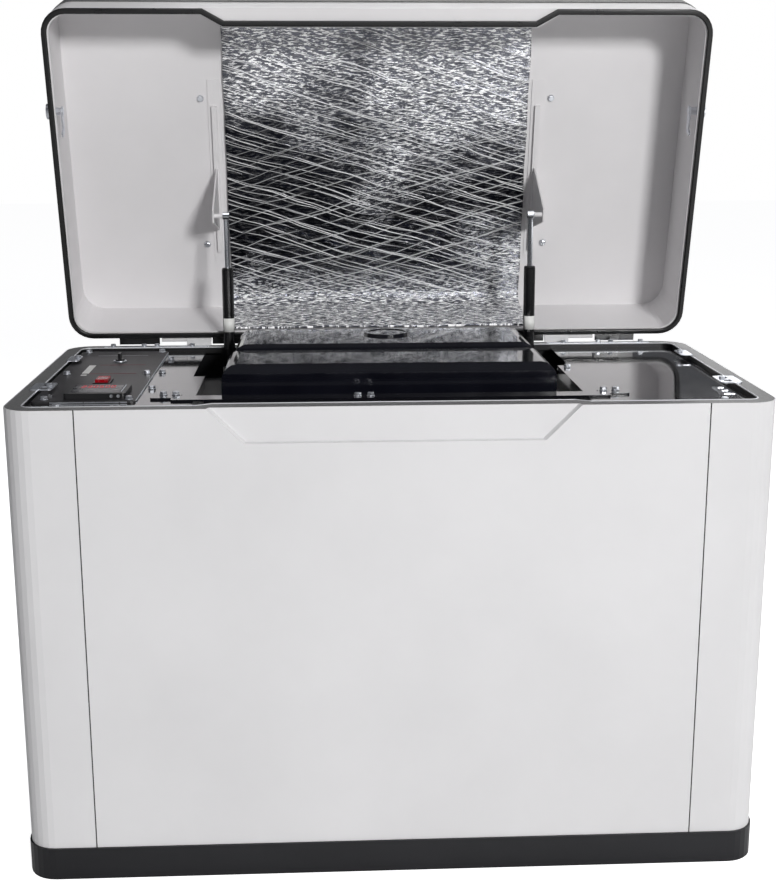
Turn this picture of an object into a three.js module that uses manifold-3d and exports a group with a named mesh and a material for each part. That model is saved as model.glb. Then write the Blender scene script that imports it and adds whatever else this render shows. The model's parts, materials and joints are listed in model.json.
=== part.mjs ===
import * as THREE from 'three';
import { mergeVertices } from 'three/addons/utils/BufferGeometryUtils.js';
import Module from 'manifold-3d';

// Home standby generator. Millimetres, +X right, +Y back, +Z up.
// The origin is on the ground under the plinth's centre.

// Cabinet
const WIDTH = 1200;
const DEPTH = 620;
const CABINET_TOP = 780;
const PLINTH_HEIGHT = 54;
const PLINTH_PROUD = 3;
const CORNER_RADIUS = 46;
const SEAM_X = 487;
const SEAM_GAP = 2;
const SHEET = 1.5;
const PLINTH_SHEET = 3;
const SKID_HEIGHT = 60;
const CLEARANCE = 0.3;
const RIM_FLANGE = 25;
const RIM_LIP = 12;
const RIM_SHEET = 2;

// Finger recess in the front panel
const RECESS_TOP_HALF = 288;
const RECESS_HEIGHT = 55;
const RECESS_DEPTH = 10;
const RECESS_BEVEL = 5;
const RECESS_SILL_DRAFT = 1;

// Lid
const LID_HEIGHT = 165;
const LID_INSET = 1;
const LID_LIFT = 8;
const LID_RETURN = 12;
const LID_OPEN_DEG = 77.5;
const LID_WHITE_BAND = 76;
const HINGE_BACK = 5;
const HINGE_UP = 11;
const KNUCKLE_RADIUS = 4.5;
const HINGE_PIN_RADIUS = 2.5;
const HINGE_X = 376;
const HINGE_HALF = 48;
const GRIP_START_HALF = 315;
const GRIP_END_HALF = 277;
const GRIP_DEPTH = 21;
const GRIP_RIM = 18;
const SEAL_HEIGHT = 6.4;
const SEAL_WIDTH = 10;
const PAD_HALF = 295;
const PAD_THICK = 12;

// Struts
const STRUT_X = 290;
const STRUT_FOOT_MARGIN = 2.2;
const STRUT_FOOT_DOWN = 50;
const STUD_ALONG = 243;
const STUD_DEPTH = 15;
const BARREL_RADIUS = 11;
const BARREL_LENGTH = 200;
const ROD_RADIUS = 5;
const EYE_RADIUS = 8.5;
const EYE_HALF = 6;

// Latches
const LATCH_ALONG = 434;
const LATCH_DEPTH = 45;
const LATCH_ARM = 40;
const LATCH_SHAFT_RADIUS = 7;
const LATCH_KNOB_RADIUS = 14;

// Deck and controls
const DECK_DROP = 8;
const DECK_SHEET = 2;
const PANEL_SHEET = 3;
const PANEL_SIDE_MARGIN = 3.2;
const PANEL_BACK_MARGIN = 12.2;
const PANEL_WALL_MARGIN = 12;
const PANEL_Y0 = -218;

// Engine and alternator
const MOUNT_TOP = 110;
const CRANK_Z = 300;
const CRANK_RADIUS = 18;
const CASE_HALF_X = 130;
const CASE_HALF_Y = 125;
const BORE_ANGLE = 45;
const BANK_OFFSET = 14;
const PORT_OUT = 62;
const PORT_ALONG = 248;
const FAN_RADIUS = 125;
const STATOR_RADIUS = 135;
const STATOR_BORE = 100;
const ROTOR_GAP = 3;
const ALTERNATOR_X1 = 366;
const PARTITION_X = 395;
const MIXER_Z = 588;
const SHROUD_HALF = 276;
const SHROUD_FRONT = -140;
const SHROUD_SEAM = 26;
const SHROUD_UP = 36;
const SHROUD_SLOPE_DEG = 35;
const COVER_HALF = 268;
const COVER_BACK = 214;
const COVER_UP = 44;
const EXHAUST_RADIUS = 17;
const OUTLET_RADIUS = 20;
const OUTLET_Y = -120;
const OUTLET_Z = 226;

const TOP = CABINET_TOP;
const BACK = DEPTH / 2;
const FRONT = -DEPTH / 2;
const SIDE = WIDTH / 2;
const RIM_INNER = SHEET + CLEARANCE + RIM_FLANGE;
const STRUT_FOOT_IN = RIM_INNER + BARREL_RADIUS + STRUT_FOOT_MARGIN;
const PANEL_X0 = -(SIDE - RIM_INNER - PANEL_SIDE_MARGIN);
const PANEL_X1 = -(PARTITION_X + PANEL_WALL_MARGIN);
const PANEL_Y1 = BACK - RIM_INNER - PANEL_BACK_MARGIN;
const DECK_TOP = TOP - DECK_DROP;
const HINGE_Y = BACK + HINGE_BACK;
const MOUNT_BASE = PLINTH_SHEET + SKID_HEIGHT + 2 * CLEARANCE;
const HINGE_Z = TOP + HINGE_UP;
const ALTERNATOR_X0 = CASE_HALF_X + CLEARANCE;

const wasm = await Module();
wasm.setup();
const { Manifold, Mesh } = wasm;

const white = { color: 0xd9d7d3, roughness: 0.45, metalness: 0.0 };
const lightGrey = { color: 0xc6c5c3, roughness: 0.5, metalness: 0.0 };
const rimGrey = { color: 0x7c7c7c, roughness: 0.6, metalness: 0.1 };
const capGrey = { color: 0x55565a, roughness: 0.55, metalness: 0.0 };
const black = { color: 0x17171c, roughness: 0.3, metalness: 0.1 };
const glossBlack = { color: 0x0c0d12, roughness: 0.12, metalness: 0.0 };
const rubber = { color: 0x141414, roughness: 0.85, metalness: 0.0 };
const foil = { color: 0xc8ccd2, roughness: 0.25, metalness: 1.0 };
const zinc = { color: 0xbfc1c4, roughness: 0.3, metalness: 1.0 };
const castAluminium = { color: 0x9a9c9e, roughness: 0.55, metalness: 0.9 };
const steel = { color: 0x8a8c90, roughness: 0.35, metalness: 1.0 };
const red = { color: 0xb01418, roughness: 0.4, metalness: 0.0 };
const brass = { color: 0xb08d45, roughness: 0.35, metalness: 1.0 };
const darkRed = { color: 0x1c1010, roughness: 0.25, metalness: 0.0 };

// ---- solids ----

function solidOf(geometry) {
  const bare = new THREE.BufferGeometry();
  bare.setAttribute('position', geometry.getAttribute('position').clone());
  if (geometry.index) {
    bare.setIndex(geometry.index.clone());
  }
  const welded = mergeVertices(bare, 1e-4);
  const vertProperties = Float32Array.from(welded.getAttribute('position').array);
  const triVerts = Uint32Array.from(welded.index.array);
  return new Manifold(new Mesh({ numProp: 3, vertProperties, triVerts }));
}

function geometryOf(solid) {
  const mesh = solid.getMesh();
  const geometry = new THREE.BufferGeometry();
  geometry.setAttribute('position', new THREE.BufferAttribute(Float32Array.from(mesh.vertProperties), 3));
  geometry.setIndex(new THREE.BufferAttribute(Uint32Array.from(mesh.triVerts), 1));
  return geometry;
}

function join(...parts) {
  return geometryOf(Manifold.union(parts.map(solidOf)));
}

function cut(body, ...tools) {
  const removed = Manifold.union(tools.map(solidOf));
  return geometryOf(Manifold.difference(solidOf(body), removed));
}

function common(first, second) {
  return geometryOf(Manifold.intersection(solidOf(first), solidOf(second)));
}

function block(x0, x1, y0, y1, z0, z1) {
  const box = new THREE.BoxGeometry(x1 - x0, y1 - y0, z1 - z0);
  return box.translate((x0 + x1) / 2, (y0 + y1) / 2, (z0 + z1) / 2);
}

// A round bar between two points.
function bar(radius, from, to, sides = 16) {
  const start = new THREE.Vector3(...from);
  const end = new THREE.Vector3(...to);
  const along = end.clone().sub(start);
  const cylinder = new THREE.CylinderGeometry(radius, radius, along.length(), sides);
  const up = new THREE.Vector3(0, 1, 0);
  cylinder.applyQuaternion(new THREE.Quaternion().setFromUnitVectors(up, along.clone().normalize()));
  const middle = start.add(end).multiplyScalar(0.5);
  return cylinder.translate(middle.x, middle.y, middle.z);
}

// A turned body along +X from pairs of [x, radius]; a ring's profile ends where it starts.
function turned(profile, sides = 24) {
  const points = profile.map(([x, radius]) => new THREE.Vector2(radius, x));
  if (THREE.ShapeUtils.area(points) < 0) {
    points.reverse();
  }
  const lathe = new THREE.LatheGeometry(points, sides);
  return lathe.rotateZ(-Math.PI / 2);
}

// A flat outline in X and Y raised from z0 to z1, with optional holes.
function slab(outline, z0, z1, holes = []) {
  const shape = new THREE.Shape(outline);
  for (const hole of holes) {
    shape.holes.push(new THREE.Path(hole));
  }
  const geometry = new THREE.ExtrudeGeometry(shape, { depth: z1 - z0, bevelEnabled: false });
  return geometry.translate(0, 0, z0);
}

// A flat outline in X and Z pushed from y0 to y1.
function wall(outline, y0, y1, holes = []) {
  const flat = slab(outline, -y1, -y0, holes);
  return flat.rotateX(Math.PI / 2);
}

// A flat outline in Y and Z pushed from x0 to x1.
function rib(outline, x0, x1, holes = []) {
  const flat = slab(outline, x0, x1, holes);
  const turn = new THREE.Matrix4().set(0, 0, 1, 0, 1, 0, 0, 0, 0, 1, 0, 0, 0, 0, 0, 1);
  return flat.applyMatrix4(turn);
}

function point(x, y) {
  return new THREE.Vector2(x, y);
}

// A rectangle with round corners, anticlockwise.
function roundedRectangle(x0, x1, y0, y1, radius, steps = 6) {
  const points = [];
  const centres = [[x1 - radius, y0 + radius, -90], [x1 - radius, y1 - radius, 0],
    [x0 + radius, y1 - radius, 90], [x0 + radius, y0 + radius, 180]];
  for (const [cx, cy, start] of centres) {
    for (let step = 0; step <= steps; step += 1) {
      const angle = THREE.MathUtils.degToRad(start + (90 * step) / steps);
      points.push(point(cx + radius * Math.cos(angle), cy + radius * Math.sin(angle)));
    }
  }
  return points;
}

// The cabinet's outline drawn in by a distance.
function cabinetOutline(inset) {
  const radius = CORNER_RADIUS - inset;
  return roundedRectangle(-SIDE + inset, SIDE - inset, FRONT + inset, BACK - inset, radius, 7);
}

function ring(outerInset, innerInset, z0, z1) {
  return slab(cabinetOutline(outerInset), z0, z1, [cabinetOutline(innerInset)]);
}

function circle(cx, cy, radius, sides = 12) {
  const points = [];
  for (let step = 0; step < sides; step += 1) {
    const angle = (2 * Math.PI * step) / sides;
    points.push(point(cx + radius * Math.cos(angle), cy + radius * Math.sin(angle)));
  }
  return points;
}

// A round pipe or bar swept through points.
function pipe(radius, points, sides = 8, steps = 14) {
  const route = points.map((p) => new THREE.Vector3(...p));
  const curve = new THREE.CatmullRomCurve3(route, false, 'catmullrom', 0.5);
  const shape = new THREE.Shape(circle(0, 0, radius, sides));
  return new THREE.ExtrudeGeometry(shape, { steps, extrudePath: curve, bevelEnabled: false });
}

const generator = new THREE.Group();
generator.name = 'home_standby_generator';

function add(name, geometry, material) {
  const mesh = new THREE.Mesh(geometry, new THREE.MeshStandardMaterial(material));
  mesh.name = name;
  generator.add(mesh);
}

// The recess as a solid: a trapezoid open at the top that narrows as it goes back.
function recessSolid(grow, back) {
  const rings = [];
  for (const [y, draw, rise] of [[FRONT - 1, 0, 0], [FRONT + back, RECESS_BEVEL, RECESS_SILL_DRAFT]]) {
    const half = RECESS_TOP_HALF + grow - draw;
    const low = TOP - RECESS_HEIGHT - grow + rise;
    const high = TOP + 5;
    const lowHalf = half - (TOP - low);
    rings.push([[-half - 5, y, high], [-lowHalf, y, low], [lowHalf, y, low], [half + 5, y, high]]);
  }
  return loft(rings[0], rings[1]);
}

// A solid between two loops of the same number of points.
function loft(front, back) {
  const count = front.length;
  const positions = [...front, ...back].flat();
  const faces = [];
  for (let side = 0; side < count; side += 1) {
    const next = (side + 1) % count;
    faces.push(side, side + count, next);
    faces.push(next, side + count, next + count);
  }
  for (let corner = 1; corner < count - 1; corner += 1) {
    faces.push(0, corner, corner + 1);
    faces.push(count, count + corner + 1, count + corner);
  }
  const geometry = new THREE.BufferGeometry();
  geometry.setAttribute('position', new THREE.Float32BufferAttribute(positions, 3));
  geometry.setIndex(faces);
  return geometry;
}

// ---- cabinet ----

function baseTray() {
  const floor = slab(cabinetOutline(-PLINTH_PROUD), 0, PLINTH_SHEET);
  const skirt = ring(-PLINTH_PROUD, -PLINTH_PROUD + PLINTH_SHEET, 0, PLINTH_HEIGHT);
  const ledge = ring(-PLINTH_PROUD, 15, PLINTH_HEIGHT - PLINTH_SHEET, PLINTH_HEIGHT);
  return join(floor, skirt, ledge);
}

function frontPanel() {
  const half = SEAM_X - SEAM_GAP / 2;
  const low = PLINTH_HEIGHT + CLEARANCE;
  const face = block(-half, half, FRONT, FRONT + SHEET, low, TOP);
  const room = block(-half, half, FRONT, FRONT + 60, low, TOP);
  const pocket = common(recessSolid(SHEET, RECESS_DEPTH + SHEET), room);
  const returns = [-1, 1].map((side) => block(
    Math.min(side * half, side * (half - SHEET)), Math.max(side * half, side * (half - SHEET)),
    FRONT, FRONT + 20, low, TOP - 20));
  return cut(join(face, pocket, ...returns), recessSolid(0, RECESS_DEPTH));
}

function louvreSlots(count, x0, x1, y0, y1, zTop, pitch, height) {
  const slots = [];
  for (let row = 0; row < count; row += 1) {
    const high = zTop - row * pitch;
    slots.push(block(x0, x1, y0, y1, high - height, high));
  }
  return slots;
}

// Rear panel with two banks of air slots, a gas inlet hole and the fixed hinge leaves.
function rearPanel() {
  const half = SEAM_X - SEAM_GAP / 2;
  const low = PLINTH_HEIGHT + CLEARANCE;
  const face = block(-half, half, BACK - SHEET, BACK, low, TOP);
  const slots = [
    ...louvreSlots(6, -330, -90, BACK - 5, BACK + 5, 560, 26, 10),
    ...louvreSlots(6, 90, 330, BACK - 5, BACK + 5, 560, 26, 10),
  ];
  const inlet = bar(16, [-450, BACK - 10, 180], [-450, BACK + 10, 180], 16);
  const leaves = [-1, 1].map((side) => hingeLeaf(side));
  return join(cut(face, ...slots, inlet), ...leaves);
}

// Fixed half of a hinge: leaf on the back of the panel, knuckle, and a pin into the lid's knuckle.
function hingeLeaf(side) {
  const near = side * (HINGE_X - HINGE_HALF);
  const far = side * (HINGE_X - CLEARANCE);
  const tip = side * (HINGE_X + HINGE_HALF);
  const x0 = Math.min(near, far);
  const x1 = Math.max(near, far);
  const leaf = block(x0, x1, BACK, BACK + 2.5, TOP - 45, HINGE_Z);
  const web = block(x0, x1, BACK, HINGE_Y, TOP - 1, HINGE_Z);
  const knuckle = bar(KNUCKLE_RADIUS, [near, HINGE_Y, HINGE_Z], [far, HINGE_Y, HINGE_Z], 12);
  const pin = bar(HINGE_PIN_RADIUS, [near, HINGE_Y, HINGE_Z], [tip, HINGE_Y, HINGE_Z], 10);
  return join(leaf, web, knuckle, pin);
}

// End panel that wraps both round corners as far as the seams.
function endPanel(side) {
  const low = PLINTH_HEIGHT + CLEARANCE;
  const shell = ring(0, SHEET, low, TOP);
  const edge = SEAM_X + SEAM_GAP / 2;
  const keep = side < 0
    ? block(-SIDE - 5, -edge, FRONT - 5, BACK + 5, low - 5, TOP + 5)
    : block(edge, SIDE + 5, FRONT - 5, BACK + 5, low - 5, TOP + 5);
  const x = side * SIDE;
  const slots = [
    ...louvreSlots(7, x - 5, x + 5, -190, -20, 470, 26, 10),
    ...louvreSlots(7, x - 5, x + 5, 20, 190, 470, 26, 10),
  ];
  if (side > 0) {
    slots.push(bar(OUTLET_RADIUS + 6, [x - 10, OUTLET_Y, OUTLET_Z], [x + 10, OUTLET_Y, OUTLET_Z], 16));
  }
  return cut(common(shell, keep), ...slots);
}

// Flange and lip round the top of the cabinet, cleared for the finger recess.
// Slab with the bent-in line that the lid's seal follows behind the finger recess, grown by a distance.
function gripSlab(grow, z0, z1) {
  const slope = (GRIP_START_HALF - GRIP_END_HALF) / GRIP_DEPTH;
  const shift = grow * Math.hypot(1, slope);
  const y0 = FRONT + LID_INSET;
  const half = (y) => GRIP_START_HALF + shift - (y - y0) * slope;
  const front = y0 - 6;
  const back = y0 + GRIP_DEPTH + grow;
  const outline = [[-half(front), front], [half(front), front], [half(back), back], [-half(back), back]];
  return slab(outline.map(([x, y]) => point(x, y)), z0, z1);
}

// The area inside the cabinet's outline at one inset, less the grip area in front.
function insideGrip(inset, grow, z0, z1) {
  return cut(slab(cabinetOutline(inset), z0, z1), gripSlab(grow, z0 - 1, z1 + 1));
}

function topRim() {
  const outer = SHEET + CLEARANCE;
  const inner = outer + RIM_FLANGE;
  const sheet = slab(cabinetOutline(outer), TOP - RIM_SHEET, TOP);
  const flange = cut(sheet, insideGrip(inner, GRIP_RIM, TOP - 9, TOP + 1));
  const lipArea = insideGrip(inner - RIM_SHEET, GRIP_RIM - RIM_SHEET, TOP - RIM_LIP, TOP - RIM_SHEET);
  const lip = cut(lipArea, insideGrip(inner, GRIP_RIM, TOP - RIM_LIP - 1, TOP));
  return cut(join(flange, lip), recessSolid(SHEET + CLEARANCE * 2, RECESS_DEPTH + SHEET + CLEARANCE * 2));
}

// Inner rear rail with the two strut feet.
function rearRail() {
  const back = BACK - SHEET - CLEARANCE;
  const high = TOP - RIM_SHEET - CLEARANCE;
  const web = block(-470, 470, back - 3, back, TOP - 64, high);
  const feet = [-1, 1].map((side) => strutFoot(side, back - 1));
  return join(web, ...feet);
}

function strutFoot(side, back) {
  const pivotY = BACK - STRUT_FOOT_IN;
  const pivotZ = TOP - STRUT_FOOT_DOWN;
  const plateX = side * (STRUT_X + EYE_HALF + 5);
  const outline = [point(pivotY - 12, pivotZ - 12), point(back, pivotZ - 12), point(back, pivotZ + 14),
    point(pivotY - 4, pivotZ + 14), point(pivotY - 12, pivotZ + 6)];
  const plate = rib(outline, plateX - 1.5, plateX + 1.5);
  const stud = bar(3.7, [plateX, pivotY, pivotZ], [side * (STRUT_X - EYE_HALF), pivotY, pivotZ], 12);
  return join(plate, stud);
}

function deckPlate(side) {
  const outer = side * (SIDE - SHEET - RIM_FLANGE - 2 * CLEARANCE - 0.5);
  const step = side < 0 ? 12 : 86;
  const front = side * 316;
  const rear = side * 336;
  const y0 = FRONT + SHEET + RIM_FLANGE + 2 * CLEARANCE + 2;
  const y1 = BACK - SHEET - RIM_FLANGE - 2 * CLEARANCE - 0.5;
  const chamfer = CORNER_RADIUS - SHEET - RIM_FLANGE + 0.5;
  const corner = side * (Math.abs(outer) - chamfer);
  const outline = [point(front, y0), point(corner, y0), point(outer, y0 + chamfer),
    point(outer, y1 - chamfer),
    point(corner, y1), point(rear, y1), point(rear, step), point(front, step)];
  const plate = slab(side < 0 ? outline.reverse() : outline, DECK_TOP - DECK_SHEET, DECK_TOP);
  const hem = block(Math.min(front, front + side * 2), Math.max(front, front + side * 2), y0, step,
    DECK_TOP - 20, DECK_TOP);
  return join(plate, hem);
}

function frontCrossbar() {
  const z0 = DECK_TOP + CLEARANCE;
  const bed = slab(roundedRectangle(-352, 352, -212, -178, 4, 2), z0, z0 + 3);
  const upstand = block(-300, 300, -212, -209, z0 - 24, z0 + 3);
  const endOutline = (x) => roundedRectangle(x - 24, x + 24, -196, -160, 4, 2);
  const ends = [-1, 1].map((side) => slab(endOutline(side * 362), z0, z0 + 3));
  return join(bed, upstand, ...ends);
}

// ---- controls ----

const PANEL_TOP = DECK_TOP + CLEARANCE + PANEL_SHEET;
const KEY_X = -483;
const KEY_Y = 155;
const SWITCH_X = -482;
const SWITCH_TRAVEL = 3;
const SWITCH_Y = -52;

function controlPanel() {
  const outline = roundedRectangle(PANEL_X0, PANEL_X1, PANEL_Y0, PANEL_Y1, 6, 3);
  const plate = slab(outline, DECK_TOP + CLEARANCE, PANEL_TOP);
  const keyHole = bar(5.5, [KEY_X, KEY_Y, DECK_TOP - 5], [KEY_X, KEY_Y, PANEL_TOP + 5], 16);
  const switchHole = block(SWITCH_X - 11, SWITCH_X + 11, SWITCH_Y - 18, SWITCH_Y + 18,
    DECK_TOP - 5, PANEL_TOP + 5);
  return cut(plate, keyHole, switchHole);
}

function meterModule() {
  const z0 = PANEL_TOP + CLEARANCE;
  const lip = slab(roundedRectangle(-522, -424, -200, -118, 5, 3), z0, z0 + 9);
  const well = slab(roundedRectangle(-514, -432, -190, -128, 3, 2), z0 + 7.5, z0 + 12);
  return cut(lip, well);
}

function keySwitch() {
  const shaft = bar(5, [KEY_X, KEY_Y, DECK_TOP + 0.6], [KEY_X, KEY_Y, PANEL_TOP + 4], 16);
  const skirt = bar(8.5, [KEY_X, KEY_Y, PANEL_TOP + CLEARANCE], [KEY_X, KEY_Y, PANEL_TOP + 5], 20);
  const grip = block(KEY_X - 2.5, KEY_X + 2.5, KEY_Y - 8.5, KEY_Y + 8.5, PANEL_TOP + 4, PANEL_TOP + 16);
  return join(shaft, skirt, grip);
}

function rockerSwitch() {
  return block(SWITCH_X - 10.5, SWITCH_X + 10.5, SWITCH_Y - 17.5, SWITCH_Y + 17.5,
    DECK_TOP + 0.6 + SWITCH_TRAVEL, PANEL_TOP + 8);
}

function controlBox() {
  const high = DECK_TOP - DECK_SHEET - 0.5;
  return block(PANEL_X0 + 4, PANEL_X1 - 6, PANEL_Y0 + 8, PANEL_Y1 - 9, TOP - 150, high);
}

// A partition between the engine bay and an end bay, with a passage for hoses and harness.
function partition(side) {
  const x = side * PARTITION_X;
  const reach = BACK - SHEET - RIM_FLANGE - 2.5;
  const sheet = block(x - 1, x + 1, -reach, reach, MOUNT_BASE, DECK_TOP - DECK_SHEET - CLEARANCE);
  const passage = bar(34, [x - 10, 150, 470], [x + 10, 150, 470], 16);
  const pipes = [-1, 1].map((end) => block(x - 10, x + 10, end * 157 - 27, end * 157 + 27, 160, 212));
  return side < 0 ? cut(sheet, passage) : cut(sheet, ...pipes);
}

function striker(side) {
  const x = side * (SIDE - 32);
  const y = HINGE_Y - LATCH_ALONG;
  const z0 = TOP + CLEARANCE;
  const base = slab(roundedRectangle(x - 18, x + 18, y - 30, y + 30, 5, 2), z0, z0 + 2,
    [roundedRectangle(x - side * 4 - 7, x - side * 4 + 7, y - 22, y - 4, 2, 1).reverse(),
      roundedRectangle(x - side * 4 - 7, x - side * 4 + 7, y + 4, y + 22, 2, 1).reverse()]);
  return base;
}

// ---- skid, mounts and running gear ----

// Two long and three cross channels, open below, with a battery shelf.
function skidFrame() {
  const z0 = PLINTH_SHEET + CLEARANCE;
  const z1 = z0 + SKID_HEIGHT;
  const channels = [];
  const hollows = [];
  for (const side of [-1, 1]) {
    const y0 = side * 150 - 25;
    channels.push(block(-540, 540, y0, y0 + 50, z0, z1));
    hollows.push(block(-537, 537, y0 + 3, y0 + 47, z0 - 1, z1 - 3));
  }
  for (const x of [-370, -60, 330]) {
    channels.push(block(x - 25, x + 25, -175, 175, z0, z1));
    hollows.push(block(x - 22, x + 22, -172, 172, z0 - 1, z1 - 3));
  }
  const shelf = block(-562, -398, 10, 222, z1 - 4, z1);
  return join(cut(join(...channels), ...hollows), shelf);
}


function rubberMount(x, y) {
  const profile = [[0, 0], [0, 28], [8, 24], [MOUNT_TOP - MOUNT_BASE - 8, 24], [MOUNT_TOP - MOUNT_BASE, 28],
    [MOUNT_TOP - MOUNT_BASE, 0]];
  const body = turned(profile, 14);
  return body.rotateY(-Math.PI / 2).translate(x, y, MOUNT_BASE);
}

// End view of the crankcase.
function caseOutline() {
  const low = MOUNT_TOP + CLEARANCE + 5;
  const half = CASE_HALF_Y;
  const roof = CRANK_Z + 110;
  return [point(-half + 15, low), point(half - 15, low), point(half, low + 55), point(half, CRANK_Z + 30),
    point(half - 55, roof), point(-half + 55, roof), point(-half, CRANK_Z + 30), point(-half, low + 55)];
}

function crankcase() {
  const z0 = MOUNT_TOP + CLEARANCE;
  const feet = block(-CASE_HALF_X, CASE_HALF_X, -175, 175, z0, z0 + 14);
  const body = rib(caseOutline(), -CASE_HALF_X, CASE_HALF_X);
  const nose = bar(44, [-CASE_HALF_X - 12, 0, CRANK_Z], [-CASE_HALF_X + 5, 0, CRANK_Z], 20);
  const bore = bar(CRANK_RADIUS + CLEARANCE, [-300, 0, CRANK_Z], [300, 0, CRANK_Z], 20);
  return cut(join(feet, body, nose), bore);
}

// Finned barrel and head, built upright and then leaned over to its bank.
function finnedCylinder(side) {
  const parts = [bar(46, [0, 0, 138], [0, 0, 232], 16), block(-52, 52, -50, 50, 222, 272)];
  parts.push(block(-24, 24, -PORT_OUT, PORT_OUT, PORT_ALONG - 20, PORT_ALONG + 20));
  for (let fin = 0; fin < 6; fin += 1) {
    const z = 144 + fin * 14;
    parts.push(block(-62, 62, -58, 58, z, z + 4));
  }
  for (let fin = 0; fin < 3; fin += 1) {
    const z = 230 + fin * 14;
    parts.push(block(-62, 62, -58, 58, z, z + 4));
  }
  return leaned(join(...parts), side);
}

// Where a port's face sits, a little way off the head: out is +1 for the exhaust and -1 for the intake.
function portPoint(side, out, away) {
  const y = out * (PORT_OUT + away) * side;
  const local = new THREE.Vector3(0, y, PORT_ALONG);
  local.applyAxisAngle(new THREE.Vector3(1, 0, 0), THREE.MathUtils.degToRad(-side * BORE_ANGLE));
  return [side * BANK_OFFSET, local.y, local.z + CRANK_Z];
}

function leaned(geometry, side) {
  const angle = THREE.MathUtils.degToRad(-side * BORE_ANGLE);
  return geometry.rotateX(angle).translate(side * BANK_OFFSET, 0, CRANK_Z);
}

function rockerCover(side) {
  const outline = roundedRectangle(-50, 50, -46, 46, 14, 3);
  const cover = slab(outline, 272 + CLEARANCE, 300);
  const flange = slab(roundedRectangle(-56, 56, -52, 52, 14, 3), 272 + CLEARANCE, 278);
  return leaned(join(cover, flange), side);
}

function crankshaft() {
  const profile = [[-214, 0], [-214, 12], [-196, 12], [-196, CRANK_RADIUS],
    [ALTERNATOR_X1 + 22, CRANK_RADIUS],
    [ALTERNATOR_X1 + 22, 0]];
  return turned(profile, 20).translate(0, 0, CRANK_Z);
}

function flywheelFan() {
  const bore = CRANK_RADIUS + CLEARANCE;
  const disc = turned([[-160, bore], [-160, 118], [-172, 118], [-176, 60], [-192, 40], [-192, bore],
    [-160, bore]], 24);
  const blades = [];
  for (let blade = 0; blade < 12; blade += 1) {
    const vane = block(-188, -170, -2, 2, 66, FAN_RADIUS - 9);
    blades.push(vane.rotateX((2 * Math.PI * blade) / 12));
  }
  return join(disc, ...blades).translate(0, 0, CRANK_Z);
}

function fanCowl() {
  const outer = 142;
  const x1 = -CASE_HALF_X - CLEARANCE;
  const profile = [[x1, 60], [x1, outer], [-206, outer], [-206, 96], [-203, 96], [-203, outer - 3],
    [x1 - 3, outer - 3], [x1 - 3, 60], [x1, 60]];
  const cowl = turned(profile, 24).translate(0, 0, CRANK_Z);
  const spokes = [0, 1, 2].map((turn) => block(-206, -203, -4, 4, -100, 100)
    .rotateX((turn * Math.PI) / 3)
    .translate(0, 0, CRANK_Z));
  const hub = bar(22, [-208, 0, CRANK_Z], [-203, 0, CRANK_Z], 16);
  const hole = bar(14, [-220, 0, CRANK_Z], [-190, 0, CRANK_Z], 16);
  return cut(join(cowl, ...spokes, hub), hole);
}

// Round-shouldered box from y0 to y1 with its front top edge sloped off, used for outsides and hollows.
function hood(halfX, y0, y1, z0, z1, radius, slopeRun) {
  const body = wall(roundedRectangle(-halfX, halfX, z0 - 2 * radius, z1, radius, 5), y0, y1);
  const slope = block(-halfX - 5, halfX + 5, -80, 0, 0, 60);
  slope.rotateX(THREE.MathUtils.degToRad(SHROUD_SLOPE_DEG)).translate(0, y0 + slopeRun, z1);
  return cut(body, slope);
}

function engineShroud() {
  const low = TOP - 150;
  const high = TOP + SHROUD_UP;
  const outside = hood(SHROUD_HALF, SHROUD_FRONT, SHROUD_SEAM, low, high, 24, 18);
  const inside = hood(SHROUD_HALF - 3, SHROUD_FRONT + 3, SHROUD_SEAM - 3, low, high - 3, 21, 18);
  return cut(outside, inside, block(-300, 300, -200, 100, low - 100, low));
}

function airCleanerCover() {
  const low = TOP - 130;
  const high = TOP + COVER_UP;
  const outside = hood(COVER_HALF, SHROUD_SEAM + 3, COVER_BACK, low, high, 26, 8);
  const inside = hood(COVER_HALF - 3, SHROUD_SEAM + 6, COVER_BACK - 3, low, high - 3, 23, 8);
  const shell = cut(outside, inside, block(-300, 300, 0, 300, low - 100, low));
  const cap = bar(42, [8, 150, high - 2], [8, 150, high + 4], 24);
  const dish = bar(34, [8, 150, high + 2.5], [8, 150, high + 8], 24);
  return cut(join(shell, cap), dish);
}

function intakeManifold() {
  const ends = [1, -1].map((side) => [portPoint(side, -1, 1.5), portPoint(side, -1, 30)]);
  const runner = pipe(17, [ends[0][0], ends[0][1], [0, 50, 562], [0, -50, 562],
    ends[1][1], ends[1][0]], 8, 14);
  const riser = bar(20, [0, 0, 560], [0, 0, MIXER_Z - CLEARANCE], 14);
  return join(runner, riser);
}

function gasMixer() {
  const body = block(-34, 34, -30, 18, MIXER_Z, MIXER_Z + 40);
  const throat = bar(19, [0, 0, MIXER_Z + 35], [0, 0, MIXER_Z + 110], 14);
  const inlet = bar(11, [-60, 0, MIXER_Z + 20], [-30, 0, MIXER_Z + 20], 12);
  return join(body, throat, inlet);
}

function fuelPipe() {
  return pipe(9, [[-61.5, 0, MIXER_Z + 20], [-110, 4, MIXER_Z + 18], [-210, 60, 580], [-330, 136, 500],
    [-390, 150, 466], [-412, 150, 451], [-430, 150, 450]], 8, 16);
}

function gasRegulator() {
  const body = block(-500, -440, 128, 212, 410, 460);
  const drum = bar(46, [-470, 170, 372], [-470, 170, 410], 20);
  const outlet = bar(11, [-440, 150, 450], [-432 - CLEARANCE, 150, 450], 12);
  const bracket = block(-445, -PARTITION_X - 1 - CLEARANCE, 188, 212, 415, 455);
  return join(body, drum, bar(30, [-470, 170, 455], [-470, 170, 474], 16), outlet, bracket);
}

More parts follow.
